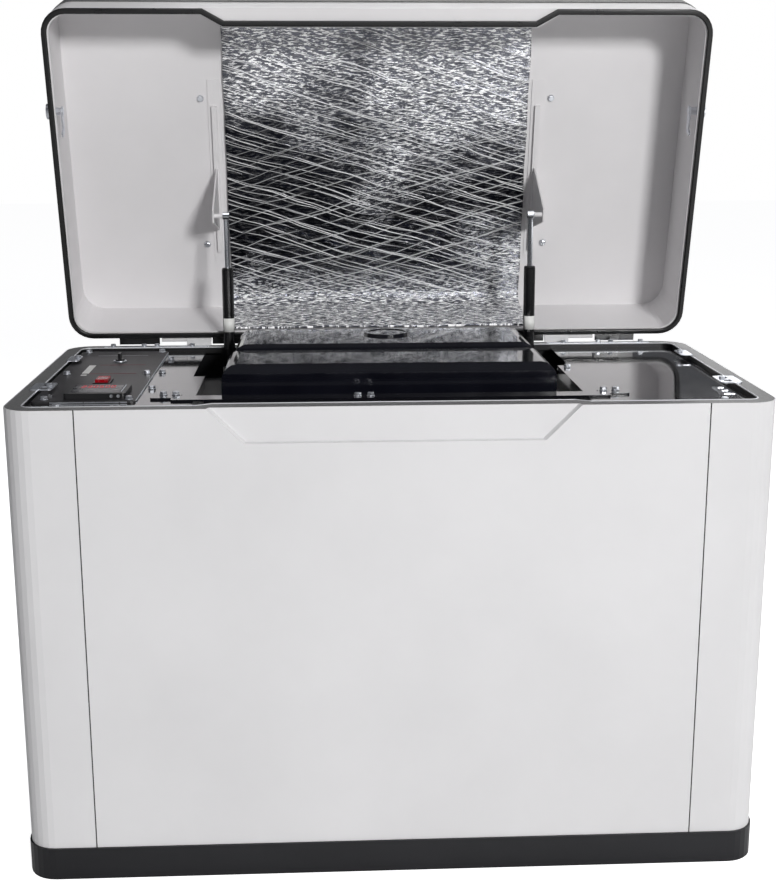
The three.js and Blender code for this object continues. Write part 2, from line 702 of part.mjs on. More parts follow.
function gasInlet() {
  return join(
    pipe(11, [[-450, BACK + 30, 180], [-450, BACK - 20, 180], [-450, BACK - 42, 188], [-462, BACK - 70, 226],
      [-470, 204, 300], [-470, 190, 345], [-470, 190, 370]], 8, 16),
    bar(21, [-450, BACK + 2, 180], [-450, BACK + 12, 180], 6));
}

function exhaustPipe(side) {
  const start = portPoint(side, 1, 1.5);
  const turn = portPoint(side, 1, 24);
  return pipe(EXHAUST_RADIUS, [start, turn, [60, side * 262, 372], [170, side * 256, 290],
    [270, side * 236, 212],
    [350, side * 190, 186], [395, side * 157, 186], [429, side * 148, 186]], 8, 20);
}

// Oval silencer across the right end bay on two feet, with its outlet through the end panel.
function muffler() {
  const can = wall(roundedRectangle(436, 560, 110, 270, 50, 5), -200, 200);
  const feet = [-1, 1].map((side) => block(470, 526, side * 150 - 20, side * 150 + 20, MOUNT_BASE, 113));
  const outlet = bar(OUTLET_RADIUS, [545, OUTLET_Y, OUTLET_Z], [SIDE + 11, OUTLET_Y, OUTLET_Z], 14);
  const bore = bar(OUTLET_RADIUS - 2, [500, OUTLET_Y, OUTLET_Z], [SIDE + 15, OUTLET_Y, OUTLET_Z], 14);
  return cut(join(can, ...feet, outlet), bore);
}

function oilFilter() {
  const profile = [[0, 0], [0, 38], [70, 38], [80, 30], [80, 0]];
  return turned(profile, 18).rotateZ(-Math.PI / 2).translate(-60, -CASE_HALF_Y - CLEARANCE, 220);
}

function starterMotor() {
  const can = bar(34, [-120, 160, 196], [8, 160, 196], 18);
  const solenoid = bar(20, [-110, 160, 244], [-10, 160, 244], 14);
  const saddle = block(-90, -40, 150, 170, 215, 245);
  return join(can, solenoid, saddle);
}

function alternatorHousing() {
  const x0 = ALTERNATOR_X0;
  const x1 = ALTERNATOR_X1;
  const barrel = turned([[x0, STATOR_BORE], [x0, STATOR_RADIUS + 8], [x0 + 12, STATOR_RADIUS + 8],
    [x0 + 12, STATOR_RADIUS], [x1 - 12, STATOR_RADIUS], [x1 - 12, STATOR_RADIUS + 8],
    [x1, STATOR_RADIUS + 8],
    [x1, STATOR_BORE], [x0, STATOR_BORE]], 32).translate(0, 0, CRANK_Z);
  const foot = block(x0 + 100, x1 - 10, -175, 175, MOUNT_TOP + CLEARANCE, MOUNT_TOP + 14);
  const pedestal = block(x0 + 110, x1 - 20, -90, 90, MOUNT_TOP + 10, CRANK_Z - STATOR_RADIUS + 22);
  const passage = bar(STATOR_BORE, [x0 - 5, 0, CRANK_Z], [x1 + 5, 0, CRANK_Z], 32);
  return join(barrel, cut(join(foot, pedestal), passage));
}

function alternatorRotor() {
  const outer = STATOR_BORE - ROTOR_GAP;
  const inner = CRANK_RADIUS + CLEARANCE;
  return turned([[ALTERNATOR_X0 + 14, inner], [ALTERNATOR_X0 + 14, outer], [ALTERNATOR_X1 - 14, outer],
    [ALTERNATOR_X1 - 14, inner], [ALTERNATOR_X0 + 14, inner]], 28).translate(0, 0, CRANK_Z);
}

function alternatorEndBell() {
  const x0 = ALTERNATOR_X1 + CLEARANCE;
  const inner = CRANK_RADIUS + CLEARANCE;
  const bell = turned([[x0, inner], [x0, STATOR_RADIUS + 6], [x0 + 10, STATOR_RADIUS + 4], [x0 + 22, 60],
    [x0 + 22, inner], [x0, inner]], 32);
  return bell.translate(0, 0, CRANK_Z);
}

function battery() {
  const z0 = MOUNT_BASE + 0.4;
  const box = slab(roundedRectangle(-555, -405, 20, 212, 6, 2), z0, z0 + 150);
  const top = slab(roundedRectangle(-552, -408, 23, 209, 5, 2), z0 + 150 - 1, z0 + 166);
  const posts = [50, 182].map((y) => bar(8, [-430, y, z0 + 160], [-430, y, z0 + 180], 12));
  return join(box, top, ...posts);
}

// ---- lid, drawn closed and then swung open ----

const LID_BASE = TOP + LID_LIFT;
const LID_TOP = LID_BASE + LID_HEIGHT;
const OPEN = new THREE.Matrix4()
  .makeTranslation(0, HINGE_Y, HINGE_Z)
  .multiply(new THREE.Matrix4().makeRotationX(-THREE.MathUtils.degToRad(LID_OPEN_DEG)))
  .multiply(new THREE.Matrix4().makeTranslation(0, -HINGE_Y, -HINGE_Z));

function lidPan() {
  const walls = ring(LID_INSET, LID_INSET + SHEET, LID_BASE, LID_TOP);
  const roof = slab(cabinetOutline(LID_INSET), LID_TOP - SHEET, LID_TOP);
  const plate = slab(cabinetOutline(LID_INSET), LID_BASE, LID_BASE + SHEET);
  const inner = insideGrip(LID_INSET + LID_RETURN, LID_RETURN, LID_BASE - 1, LID_BASE + SHEET + 1);
  const back = cut(plate, inner);
  const holes = [-1, 1].map((side) => bar(LATCH_SHAFT_RADIUS + CLEARANCE,
    [side * (SIDE - 30), HINGE_Y - LATCH_ALONG, LID_BASE + LATCH_DEPTH],
    [side * (SIDE + 5), HINGE_Y - LATCH_ALONG, LID_BASE + LATCH_DEPTH], 14));
  const leaves = [-1, 1].map((side) => lidLeaf(side));
  return join(cut(join(walls, roof, back), ...holes), ...leaves);
}

function lidLeaf(side) {
  const near = side * (HINGE_X + CLEARANCE);
  const far = side * (HINGE_X + HINGE_HALF);
  const x0 = Math.min(near, far);
  const x1 = Math.max(near, far);
  const leaf = block(x0, x1, BACK - LID_INSET - 0.5, BACK + 1.5, HINGE_Z, HINGE_Z + 40);
  const web = block(x0, x1, BACK, HINGE_Y, HINGE_Z, HINGE_Z + KNUCKLE_RADIUS);
  const knuckle = bar(KNUCKLE_RADIUS, [near, HINGE_Y, HINGE_Z], [far, HINGE_Y, HINGE_Z], 12);
  const radius = HINGE_PIN_RADIUS + CLEARANCE;
  const bore = bar(radius, [near - side, HINGE_Y, HINGE_Z], [far + side, HINGE_Y, HINGE_Z], 12);
  return cut(join(leaf, web, knuckle), bore);
}

// Dark outer cap over the upper part of the pan.
function lidCap() {
  const inner = LID_INSET - CLEARANCE;
  const low = LID_BASE + LID_WHITE_BAND;
  const skirt = ring(inner - SHEET, inner, low, LID_TOP + CLEARANCE + SHEET);
  const roof = slab(cabinetOutline(inner - SHEET), LID_TOP + CLEARANCE, LID_TOP + CLEARANCE + SHEET);
  return join(skirt, roof);
}

// Edge seal round the rim, taken inwards behind the finger recess.
function lidSeal() {
  const high = LID_BASE - CLEARANCE;
  const low = high - SEAL_HEIGHT;
  return cut(insideGrip(LID_INSET, 0, low, high),
    insideGrip(LID_INSET + SEAL_WIDTH, SEAL_WIDTH, low - 1, high + 1));
}

function lidInsulation() {
  const inset = LID_INSET + SHEET + 1;
  const high = LID_TOP - SHEET - 1;
  const pad = block(-PAD_HALF, PAD_HALF, FRONT + inset, BACK - inset, high - PAD_THICK, high);
  const flap = block(-PAD_HALF, PAD_HALF, BACK - inset - 10, BACK - inset, LID_BASE + 16, high);
  return join(pad, flap);
}

// Stiffener strip on the pan's roof with the triangular strut bracket and its ball stud.
function lidBrace(side) {
  const roof = LID_TOP - SHEET - CLEARANCE;
  const x = side * (STRUT_X + EYE_HALF + 18);
  const strip = block(x - 12, x + 12, HINGE_Y - 470, HINGE_Y - 110, roof - 2, roof);
  const ridge = block(x - 5, x + 5, HINGE_Y - 420, HINGE_Y - 130, roof - 10, roof);
  const studY = HINGE_Y - STUD_ALONG;
  const studZ = HINGE_Z + STUD_DEPTH;
  const outline = [point(studY - 12, studZ - 8), point(studY + 12, studZ - 8), point(studY + 70, roof - 1),
    point(studY - 60, roof - 1)];
  const plate = rib(outline, x - 1.5, x + 1.5);
  const reach = side * (STRUT_X + EYE_HALF + 1);
  const stud = bar(4.5, [x, studY, studZ], [reach, studY, studZ], 12);
  return join(strip, ridge, plate, stud);
}

// ---- struts, drawn in the open pose ----

const STRUT_FOOT = [BACK - STRUT_FOOT_IN, TOP - STRUT_FOOT_DOWN];
const STUD = new THREE.Vector3(0, HINGE_Y - STUD_ALONG, HINGE_Z + STUD_DEPTH).applyMatrix4(OPEN);
const STRUT_LENGTH = Math.hypot(STUD.y - STRUT_FOOT[0], STUD.z - STRUT_FOOT[1]);
const STRUT_TILT = Math.atan2(STUD.y - STRUT_FOOT[0], STUD.z - STRUT_FOOT[1]);

function alongStrut(geometry, side) {
  return geometry.rotateX(-STRUT_TILT).translate(side * STRUT_X, STRUT_FOOT[0], STRUT_FOOT[1]);
}

function strutCylinder(side) {
  const barrel = bar(BARREL_RADIUS, [0, 0, 16], [0, 0, BARREL_LENGTH], 16);
  const neck = bar(5, [0, 0, 4], [0, 0, 20], 12);
  const eye = bar(EYE_RADIUS, [-EYE_HALF, 0, 0], [EYE_HALF, 0, 0], 16);
  const socket = bar(4, [-EYE_HALF - 1, 0, 0], [EYE_HALF + 1, 0, 0], 12);
  const bore = bar(ROD_RADIUS + CLEARANCE, [0, 0, BARREL_LENGTH - 108], [0, 0, BARREL_LENGTH + 2], 14);
  return alongStrut(cut(join(barrel, neck, eye), socket, bore), side);
}

function strutRod(side) {
  const rod = bar(ROD_RADIUS, [0, 0, BARREL_LENGTH - 14], [0, 0, STRUT_LENGTH - 2], 14);
  const eye = bar(EYE_RADIUS - 1, [-EYE_HALF, 0, STRUT_LENGTH], [EYE_HALF, 0, STRUT_LENGTH], 16);
  return alongStrut(join(rod, eye), side);
}

// Cam latch: knob outside, shaft through the lid wall, hooked arm inside.
function latch(side) {
  const y = HINGE_Y - LATCH_ALONG;
  const z = LID_BASE + LATCH_DEPTH;
  const wallX = side * (SIDE - LID_INSET);
  const armX = side * (SIDE - 16);
  const shaft = bar(LATCH_SHAFT_RADIUS, [armX - side * 3, y, z], [wallX + side * 3, y, z], 14);
  const knob = bar(LATCH_KNOB_RADIUS, [wallX + side * 1, y, z], [wallX + side * 12, y, z], 18);
  const outline = [point(y - 8, z - 8), point(y + 8, z - 8), point(y + LATCH_ARM - 8, z - 5),
    point(y + LATCH_ARM - 2, z - 16), point(y + LATCH_ARM + 4, z - 14), point(y + LATCH_ARM, z + 4),
    point(y + 8, z + 8), point(y - 8, z + 8)];
  const arm = rib(outline, armX - 1.5, armX + 1.5);
  return join(shaft, knob, arm);
}

// ---- assembly ----

add('base_tray', baseTray(), black);
add('front_panel', frontPanel(), white);
add('rear_panel', rearPanel(), white);
add('end_panel_left', endPanel(-1), white);
add('end_panel_right', endPanel(1), white);
add('top_rim', topRim(), rimGrey);
add('rear_rail', rearRail(), black);
add('deck_plate_left', deckPlate(-1), glossBlack);
add('deck_plate_right', deckPlate(1), glossBlack);
add('front_crossbar', frontCrossbar(), glossBlack);
add('control_panel', controlPanel(), black);
add('meter_module', meterModule(), darkRed);
add('key_switch', keySwitch(), black);
add('rocker_switch', rockerSwitch(), red);
add('control_box', controlBox(), black);
add('partition_left', partition(-1), black);
add('partition_right', partition(1), black);
add('striker_left', striker(-1), zinc);
add('striker_right', striker(1), zinc);
add('skid_frame', skidFrame(), black);
for (const [name, x, y] of [['front_left', -90, -150], ['rear_left', -90, 150], ['front_right', 300, -150],
  ['rear_right', 300, 150]]) {
  add(`rubber_mount_${name}`, rubberMount(x, y), rubber);
}
add('crankcase', crankcase(), castAluminium);
add('cylinder_front', finnedCylinder(-1), castAluminium);
add('cylinder_rear', finnedCylinder(1), castAluminium);
add('rocker_cover_front', rockerCover(-1), black);
add('rocker_cover_rear', rockerCover(1), black);
add('crankshaft', crankshaft(), steel);
add('flywheel_fan', flywheelFan(), castAluminium);
add('fan_cowl', fanCowl(), black);
add('engine_shroud', engineShroud(), glossBlack);
add('air_cleaner_cover', airCleanerCover(), glossBlack);
add('intake_manifold', intakeManifold(), castAluminium);
add('gas_mixer', gasMixer(), castAluminium);
add('fuel_pipe', fuelPipe(), steel);
add('gas_regulator', gasRegulator(), castAluminium);
add('gas_inlet', gasInlet(), brass);
add('exhaust_pipe_front', exhaustPipe(-1), steel);
add('exhaust_pipe_rear', exhaustPipe(1), steel);
add('muffler', muffler(), steel);
add('oil_filter', oilFilter(), white);
add('starter_motor', starterMotor(), black);
add('alternator_housing', alternatorHousing(), castAluminium);
add('alternator_rotor', alternatorRotor(), steel);
add('alternator_end_bell', alternatorEndBell(), castAluminium);
add('battery', battery(), black);
add('lid_pan', lidPan().applyMatrix4(OPEN), lightGrey);
add('lid_cap', lidCap().applyMatrix4(OPEN), capGrey);
add('lid_seal', lidSeal().applyMatrix4(OPEN), rubber);
add('lid_insulation', lidInsulation().applyMatrix4(OPEN), foil);
add('lid_brace_left', lidBrace(-1).applyMatrix4(OPEN), lightGrey);
add('lid_brace_right', lidBrace(1).applyMatrix4(OPEN), lightGrey);
add('latch_left', latch(-1).applyMatrix4(OPEN), zinc);
add('latch_right', latch(1).applyMatrix4(OPEN), zinc);
add('strut_cylinder_left', strutCylinder(-1), black);
add('strut_cylinder_right', strutCylinder(1), black);
add('strut_rod_left', strutRod(-1), steel);
add('strut_rod_right', strutRod(1), steel);

export default generator;
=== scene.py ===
import json
from math import cos, pi, radians, sin

import bmesh
import bpy
from mathutils import Matrix, Vector, noise


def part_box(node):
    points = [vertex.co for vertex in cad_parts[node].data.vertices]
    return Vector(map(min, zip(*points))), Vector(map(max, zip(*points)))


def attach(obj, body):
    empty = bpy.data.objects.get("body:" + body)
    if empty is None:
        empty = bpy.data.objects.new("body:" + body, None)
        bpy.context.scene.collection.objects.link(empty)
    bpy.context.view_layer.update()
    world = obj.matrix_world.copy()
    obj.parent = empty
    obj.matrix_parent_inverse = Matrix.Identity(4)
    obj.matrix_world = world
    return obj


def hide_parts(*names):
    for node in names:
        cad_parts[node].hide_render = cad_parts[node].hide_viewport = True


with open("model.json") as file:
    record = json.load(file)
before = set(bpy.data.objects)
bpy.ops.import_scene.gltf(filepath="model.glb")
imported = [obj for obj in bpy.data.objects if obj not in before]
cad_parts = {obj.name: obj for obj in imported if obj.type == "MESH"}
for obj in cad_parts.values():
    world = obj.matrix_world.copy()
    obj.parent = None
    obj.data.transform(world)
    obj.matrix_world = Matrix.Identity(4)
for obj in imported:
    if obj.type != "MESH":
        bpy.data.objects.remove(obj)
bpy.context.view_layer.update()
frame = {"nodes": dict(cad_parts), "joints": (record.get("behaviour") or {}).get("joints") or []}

# ---- Camera ----
# Eye height a little over the open rim, looking down on the front panel, with a short telephoto lens.
# It stands left of the middle, so the cabinet shows slightly more of its left end.

camera_data = bpy.data.cameras.new("camera")
camera_data.sensor_width = 36
camera_data.lens = 55.234
camera_data.clip_start = 0.1
camera_data.clip_end = 60
camera = bpy.data.objects.new("camera", camera_data)
camera.matrix_world = (
    Matrix.Translation((-0.1075, -2.3257, 1.1957))
    @ Matrix.Rotation(radians(-2.720), 4, "Z")
    @ Matrix.Rotation(radians(90 - 13.078), 4, "X")
    @ Matrix.Rotation(radians(-0.107), 4, "Z")
)
bpy.context.scene.collection.objects.link(camera)
bpy.context.scene.camera = camera
bpy.context.scene.view_settings.view_transform = "Standard"

# ---- Studio ----
# A pale painted floor, one small hard-edged key light to the right of the lens and weak fills round it.
# The rest of the room is dim, so the foil and the gloss paint have something dark to mirror.


def linear(code):
    parts = [int(code[k : k + 2], 16) / 255 for k in (1, 3, 5)]
    return tuple(p / 12.92 if p <= 0.04045 else ((p + 0.055) / 1.055) ** 2.4 for p in parts) + (1.0,)


def add(tree, kind, sockets=None, **settings):
    node = tree.nodes.new(kind)
    for key, value in settings.items():
        setattr(node, key, value)
    for key, value in (sockets or {}).items():
        if isinstance(value, bpy.types.NodeSocket):
            tree.links.new(value, node.inputs[key])
        else:
            node.inputs[key].default_value = value
    return node


def start_material(name):
    material = bpy.data.materials.new(name)
    material.use_nodes = True
    tree = material.node_tree
    return material, tree, tree.nodes["Principled BSDF"]


world = bpy.data.worlds.new("studio_room")
world.use_nodes = True
bpy.context.scene.world = world
room = world.node_tree
path = add(room, "ShaderNodeLightPath")
shown = add(room, "ShaderNodeBackground", {"Color": (1, 1, 1, 1), "Strength": 1.0})
lit = add(room, "ShaderNodeBackground", {"Color": linear("#C9CBD2"), "Strength": 0.14})
both = add(
    room, "ShaderNodeMixShader", {0: path.outputs["Is Camera Ray"], 1: lit.outputs[0], 2: shown.outputs[0]}
)
room.links.new(both.outputs[0], room.nodes["World Output"].inputs[0])


def soft_light(name, place, target, size, watts):
    data = bpy.data.lights.new(name, "AREA")
    data.shape = "RECTANGLE"
    data.size, data.size_y = size
    data.energy = watts
    lamp = bpy.data.objects.new(name, data)
    lamp.location = place
    lamp.rotation_euler = (Vector(target) - Vector(place)).to_track_quat("-Z", "Y").to_euler()
    bpy.context.scene.collection.objects.link(lamp)
    return lamp


soft_light("key_light", (2.1, -6.2, 2.7), (0, 0, 0.8), (0.9, 0.9), 266)
soft_light("fill_light", (-2.2, -3.2, 1.5), (0, 0, 0.7), (1.2, 1.2), 3)
soft_light("top_light", (0.2, -0.9, 3.6), (0, 0.1, 0.8), (1.6, 1.2), 16)
soft_light("back_light", (0.5, 3.2, 2.4), (0, 0, 0.8), (2.4, 1.6), 50)
soft_light("right_light", (3.2, 0.6, 1.6), (0, 0, 0.8), (1.6, 1.6), 26)

floor_paint, tree, shader = start_material("floor_paint")
spot = add(tree, "ShaderNodeTexCoord")
tone = add(tree, "ShaderNodeTexNoise", {"Vector": spot.outputs["Object"], "Scale": 1.5, "Detail": 3})
ramp = add(
    tree, "ShaderNodeMix", {0: tone.outputs["Fac"], 6: linear("#F3F3F3"), 7: linear("#F8F8F7")},
    data_type="RGBA"
)
tree.links.new(ramp.outputs[2], shader.inputs["Base Color"])
shader.inputs["Roughness"].default_value = 0.75
shader.inputs["Emission Color"].default_value = (1, 1, 1, 1)
seen = add(tree, "ShaderNodeLightPath")
glow = add(tree, "ShaderNodeMath", {0: seen.outputs["Is Camera Ray"], 1: 0.9}, operation="MULTIPLY")
tree.links.new(glow.outputs[0], shader.inputs["Emission Strength"])
mesh = bpy.data.meshes.new("studio_floor")
work = bmesh.new()
bmesh.ops.create_grid(work, x_segments=1, y_segments=1, size=20)
work.to_mesh(mesh)
work.free()
mesh.materials.append(floor_paint)
studio_floor = bpy.data.objects.new("studio_floor", mesh)
bpy.context.scene.collection.objects.link(studio_floor)

# ---- Cabinet panels ----
# Folded sheet steel in off-white polyester powder coat: front door panel, rear panel and two wrap-round ends.
# The coat is satin with a faint orange peel, a little greyer where it is handled and along the floor.


def powder_coat(name, light, dark, roughness, grain_mm, depth_mm, sheen_spread=0.06):
    material, tree, shader = start_material(name)
    place = add(tree, "ShaderNodeTexCoord")
    cloud = add(
        tree, "ShaderNodeTexNoise", {
            "Vector": place.outputs["Object"], "Scale": 1 / 0.35, "Detail": 4, "Roughness": 0.55
        }
    )
    spread = add(tree, "ShaderNodeMapRange", {"Value": cloud.outputs["Fac"], 1: 0.35, 2: 0.68})
    blend = add(
        tree, "ShaderNodeMix", {0: spread.outputs[0], 6: linear(light), 7: linear(dark)}, data_type="RGBA"
    )
    tree.links.new(blend.outputs[2], shader.inputs["Base Color"])
    gloss = add(
        tree,
        "ShaderNodeMapRange",
        {
            "Value": cloud.outputs["Fac"], 1: 0.3, 2: 0.7, 3: roughness - sheen_spread / 2,
            4: roughness + sheen_spread
        },
    )
    tree.links.new(gloss.outputs[0], shader.inputs["Roughness"])
    peel = add(
        tree, "ShaderNodeTexNoise", {"Vector": place.outputs["Object"], "Scale": 1000 / grain_mm, "Detail": 2}
    )
    bump = add(
        tree, "ShaderNodeBump", {"Height": peel.outputs["Fac"], "Strength": 0.6, "Distance": depth_mm / 1000}
    )
    tree.links.new(bump.outputs[0], shader.inputs["Normal"])
    shader.inputs["IOR"].default_value = 1.5
    return material


def coat(material, *names):
    for name in names:
        slots = frame["nodes"][name].data.materials
        slots.clear()
        slots.append(material)


# Polyester powder coat, off-white: real orange peel is 1 to 2 mm across and drawn at 3 mm so that it shows.
white_powder_coat = powder_coat("white_powder_coat", "#E9E8E9", "#E2E1E2", 0.42, 3.0, 0.06)
coat(white_powder_coat, "front_panel", "rear_panel", "end_panel_left", "end_panel_right")

# ---- Lid pan and braces ----
# The lid is a deep pan in the same off-white coat, seen from inside, with folded strip braces for the struts.
# Inside it is a shade greyer and flatter than the outside panels.

# Polyester powder coat, light grey: the same make of coat, applied thinner on the inside of the pan.
lid_pan_coat = powder_coat("lid_pan_coat", "#ECEAEB", "#E4E2E3", 0.5, 3.0, 0.05)
coat(lid_pan_coat, "lid_pan", "lid_brace_left", "lid_brace_right")

# ---- Lid cap ----
# A second sheet steel cap over the lid's upper part, in dark grey textured powder coat.
# It is flat and dull beside the white band under it.

# Fine-textured powder coat, dark grey: 1.5 mm leather-like grain that scatters the light.
dark_grey_coat = powder_coat("dark_grey_coat", "#5B5B5C", "#525253", 0.55, 1.5, 0.12)
coat(dark_grey_coat, "lid_cap")

# ---- Top rim ----
# The rim flange that the seal lands on, in mid grey hammer-finish coat on top; every face that does not look upward
# is black, a painted shade under its folded lip.
# The finish is coarse, about 1 mm speckle, and its inner edge is drawn bright, a painted highlight.

rim_coat, tree, shader = start_material("rim_hammer_coat")
place = add(tree, "ShaderNodeTexCoord")
# Hammer-finish enamel: metallic flakes in grey paint give a speckle near 1 mm, drawn at 1.6 mm so that it shows.
speckle = add(tree, "ShaderNodeTexVoronoi", {"Vector": place.outputs["Object"], "Scale": 1000 / 1.6})
mottle = add(tree, "ShaderNodeTexNoise", {"Vector": place.outputs["Object"], "Scale": 1000 / 5, "Detail": 5})
mixed = add(
    tree, "ShaderNodeMath", {0: speckle.outputs["Distance"], 1: mottle.outputs["Fac"]}, operation="MULTIPLY"
)
shade = add(tree, "ShaderNodeMapRange", {"Value": mixed.outputs[0], 1: 0.05, 2: 0.4})
tint = add(
    tree, "ShaderNodeMix", {0: shade.outputs[0], 6: linear("#6B6B6B"), 7: linear("#8E8E8E")}, data_type="RGBA"
)
# Painted shade: faces that do not look upward are coloured black.
facing = add(tree, "ShaderNodeSeparateXYZ", {"Vector": place.outputs["Normal"]})
upward = add(tree, "ShaderNodeMath", {0: facing.outputs["Z"], 1: 0.5}, operation="GREATER_THAN")
split = add(
    tree, "ShaderNodeMix", {0: upward.outputs[0], 6: linear("#0B0B0D"), 7: tint.outputs[2]}, data_type="RGBA"
)
tree.links.new(split.outputs[2], shader.inputs["Base Color"])
rise = add(tree, "ShaderNodeBump", {"Height": mixed.outputs[0], "Strength": 0.5, "Distance": 0.0003})
tree.links.new(rise.outputs[0], shader.inputs["Normal"])
shader.inputs["Metallic"].default_value = 0.25
shader.inputs["Roughness"].default_value = 0.48
coat(rim_coat, "top_rim")

# ---- Plinth tray and skid ----
# Folded 3 mm base tray that stands 3 mm proud of the panels, and the welded skid inside it.
# Both are in semi-gloss black, scuffed and a little dusty near the floor.

# Semi-gloss polyester powder coat, black: smooth enough to hold a soft reflection of the floor.
black_powder_coat = powder_coat("black_powder_coat", "#0E0E13", "#15151A", 0.34, 3.0, 0.05)
coat(
    black_powder_coat, "base_tray", "skid_frame", "rear_rail", "partition_left", "partition_right",
    "control_box"
)

# ---- Deck plates and crossbar ----
# The black gloss sheets round the engine cover, and the bar that ties them at the front.
# Gloss enamel mirrors the white lid that stands over it.

gloss_enamel, tree, shader = start_material("gloss_black_enamel")
# Stoved gloss enamel, black: a smooth clear-edged mirror with slow waves from the sheet under it.
place = add(tree, "ShaderNodeTexCoord")
haze = add(tree, "ShaderNodeTexNoise", {"Vector": place.outputs["Object"], "Scale": 1 / 0.05, "Detail": 4})
soft = add(tree, "ShaderNodeMapRange", {"Value": haze.outputs["Fac"], 1: 0.3, 2: 0.7, 3: 0.05, 4: 0.11})
tree.links.new(soft.outputs[0], shader.inputs["Roughness"])
body = add(
    tree, "ShaderNodeMix", {0: haze.outputs["Fac"], 6: linear("#0E0E13"), 7: linear("#15151B")},
    data_type="RGBA"
)
tree.links.new(body.outputs[2], shader.inputs["Base Color"])
wave = add(tree, "ShaderNodeTexNoise", {"Vector": place.outputs["Object"], "Scale": 1 / 0.09, "Detail": 1})
sway = add(tree, "ShaderNodeBump", {"Height": wave.outputs["Fac"], "Strength": 0.35, "Distance": 0.0012})
tree.links.new(sway.outputs[0], shader.inputs["Normal"])
shader.inputs["IOR"].default_value = 1.55
shader.inputs["Coat Weight"].default_value = 0.9
shader.inputs["Coat Roughness"].default_value = 0.06
coat(gloss_enamel, "deck_plate_left", "deck_plate_right", "front_crossbar")

# ---- Engine shroud and air cleaner cover ----
# Two injection-moulded hoods with round shoulders that meet at a seam across the engine.
# Polished blue-black polypropylene, with slight sink waves over the ribs inside.

hood_plastic, tree, shader = start_material("polished_black_polypropylene")
# Glass-filled polypropylene from a polished tool: deep blue-black, glossy, with shallow sink waves 40 mm apart.
place = add(tree, "ShaderNodeTexCoord")
cloud = add(tree, "ShaderNodeTexNoise", {"Vector": place.outputs["Object"], "Scale": 1 / 0.06, "Detail": 4})
hue = add(
    tree, "ShaderNodeMix", {0: cloud.outputs["Fac"], 6: linear("#0C0C12"), 7: linear("#15161F")},
    data_type="RGBA"
)
tree.links.new(hue.outputs[2], shader.inputs["Base Color"])
gloss = add(tree, "ShaderNodeMapRange", {"Value": cloud.outputs["Fac"], 1: 0.3, 2: 0.7, 3: 0.05, 4: 0.14})
tree.links.new(gloss.outputs[0], shader.inputs["Roughness"])
sink = add(tree, "ShaderNodeTexNoise", {"Vector": place.outputs["Object"], "Scale": 1 / 0.04, "Detail": 2})
dip = add(tree, "ShaderNodeBump", {"Height": sink.outputs["Fac"], "Strength": 0.3, "Distance": 0.001})
tree.links.new(dip.outputs[0], shader.inputs["Normal"])
shader.inputs["IOR"].default_value = 1.55
shader.inputs["Coat Weight"].default_value = 0.8
shader.inputs["Coat Roughness"].default_value = 0.05
coat(hood_plastic, "engine_shroud", "air_cleaner_cover", "fan_cowl")

# ---- Lid seal ----
# EPDM rubber edge seal with a round-cornered bulb, pushed on the pan's edge all round.
# It turns inwards in front, behind the finger recess, with soft bends at the four corners of that jog.


def piece(name, work, body, material, smooth=True):
    shape = bpy.data.meshes.new(name)
    work.to_mesh(shape)
    work.free()
    for face in shape.polygons:
        face.use_smooth = smooth
    shape.materials.append(material)
    made = bpy.data.objects.new(name, shape)
    bpy.context.scene.collection.objects.link(made)
    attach(made, body)
    return made


def merged_copy(node):
    work = bmesh.new()
    work.from_mesh(frame["nodes"][node].data)
    bmesh.ops.remove_doubles(work, verts=work.verts[:], dist=0.00002)
    bmesh.ops.dissolve_limit(work, angle_limit=radians(1), verts=work.verts[:], edges=work.edges[:])
    return work


# EPDM rubber: dense black, satin with a soft grey bloom, extrusion lines too fine to show.
epdm_rubber, tree, shader = start_material("epdm_rubber")
place = add(tree, "ShaderNodeTexCoord")
bloom = add(tree, "ShaderNodeTexNoise", {"Vector": place.outputs["Object"], "Scale": 1 / 0.03, "Detail": 5})
shade = add(
    tree, "ShaderNodeMix", {0: bloom.outputs["Fac"], 6: linear("#060607"), 7: linear("#101011")},
    data_type="RGBA"
)
tree.links.new(shade.outputs[2], shader.inputs["Base Color"])
skin = add(tree, "ShaderNodeMapRange", {"Value": bloom.outputs["Fac"], 1: 0.3, 2: 0.7, 3: 0.24, 4: 0.42})
tree.links.new(skin.outputs[0], shader.inputs["Roughness"])
grain = add(tree, "ShaderNodeTexNoise", {"Vector": place.outputs["Object"], "Scale": 1000 / 2.0, "Detail": 2})
bump = add(tree, "ShaderNodeBump", {"Height": grain.outputs["Fac"], "Strength": 0.3, "Distance": 0.0001})
tree.links.new(bump.outputs[0], shader.inputs["Normal"])
shader.inputs["IOR"].default_value = 1.52
coat(epdm_rubber, "rubber_mount_front_left", "rubber_mount_rear_left", "rubber_mount_front_right",
     "rubber_mount_rear_right", "lid_seal")

work = merged_copy("lid_seal")
edges = [e for e in work.edges if len(e.link_faces) == 2 and e.calc_face_angle() > radians(60)]
bmesh.ops.bevel(
    work, geom=edges, offset=0.0026, offset_type="OFFSET", affect="EDGES", segments=4, profile=0.5, material=-1,
    clamp_overlap=True,
)
seal = piece("lid_seal_bulb", work, "lid", epdm_rubber)
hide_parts("lid_seal")

# ---- Lid insulation ----
# Aluminised bubble foil, 6 mm thick, glued under the lid's roof and turned down its rear wall.
# Handling has crumpled it into crossing creases, with painted highlights along their tops.

hinge = next(j for j in frame["joints"] if j["name"] == "lid_hinge")
hinge_at = Vector(hinge["pos_m"])
opened = (
    Matrix.Translation(hinge_at)
    @ Matrix.Rotation(-radians(hinge["range_deg"][1]), 4, "X")
    @ Matrix.Translation(-hinge_at)
)
pad_half = 0.2945
pad_front = -0.3055
pad_turn = 0.2985
pad_high = 0.9495
pad_thick = 0.005
turn_radius = 0.03
roof_run = pad_turn - turn_radius - pad_front
wall_run = 0.118
pad_run = roof_run + turn_radius * pi / 2 + wall_run


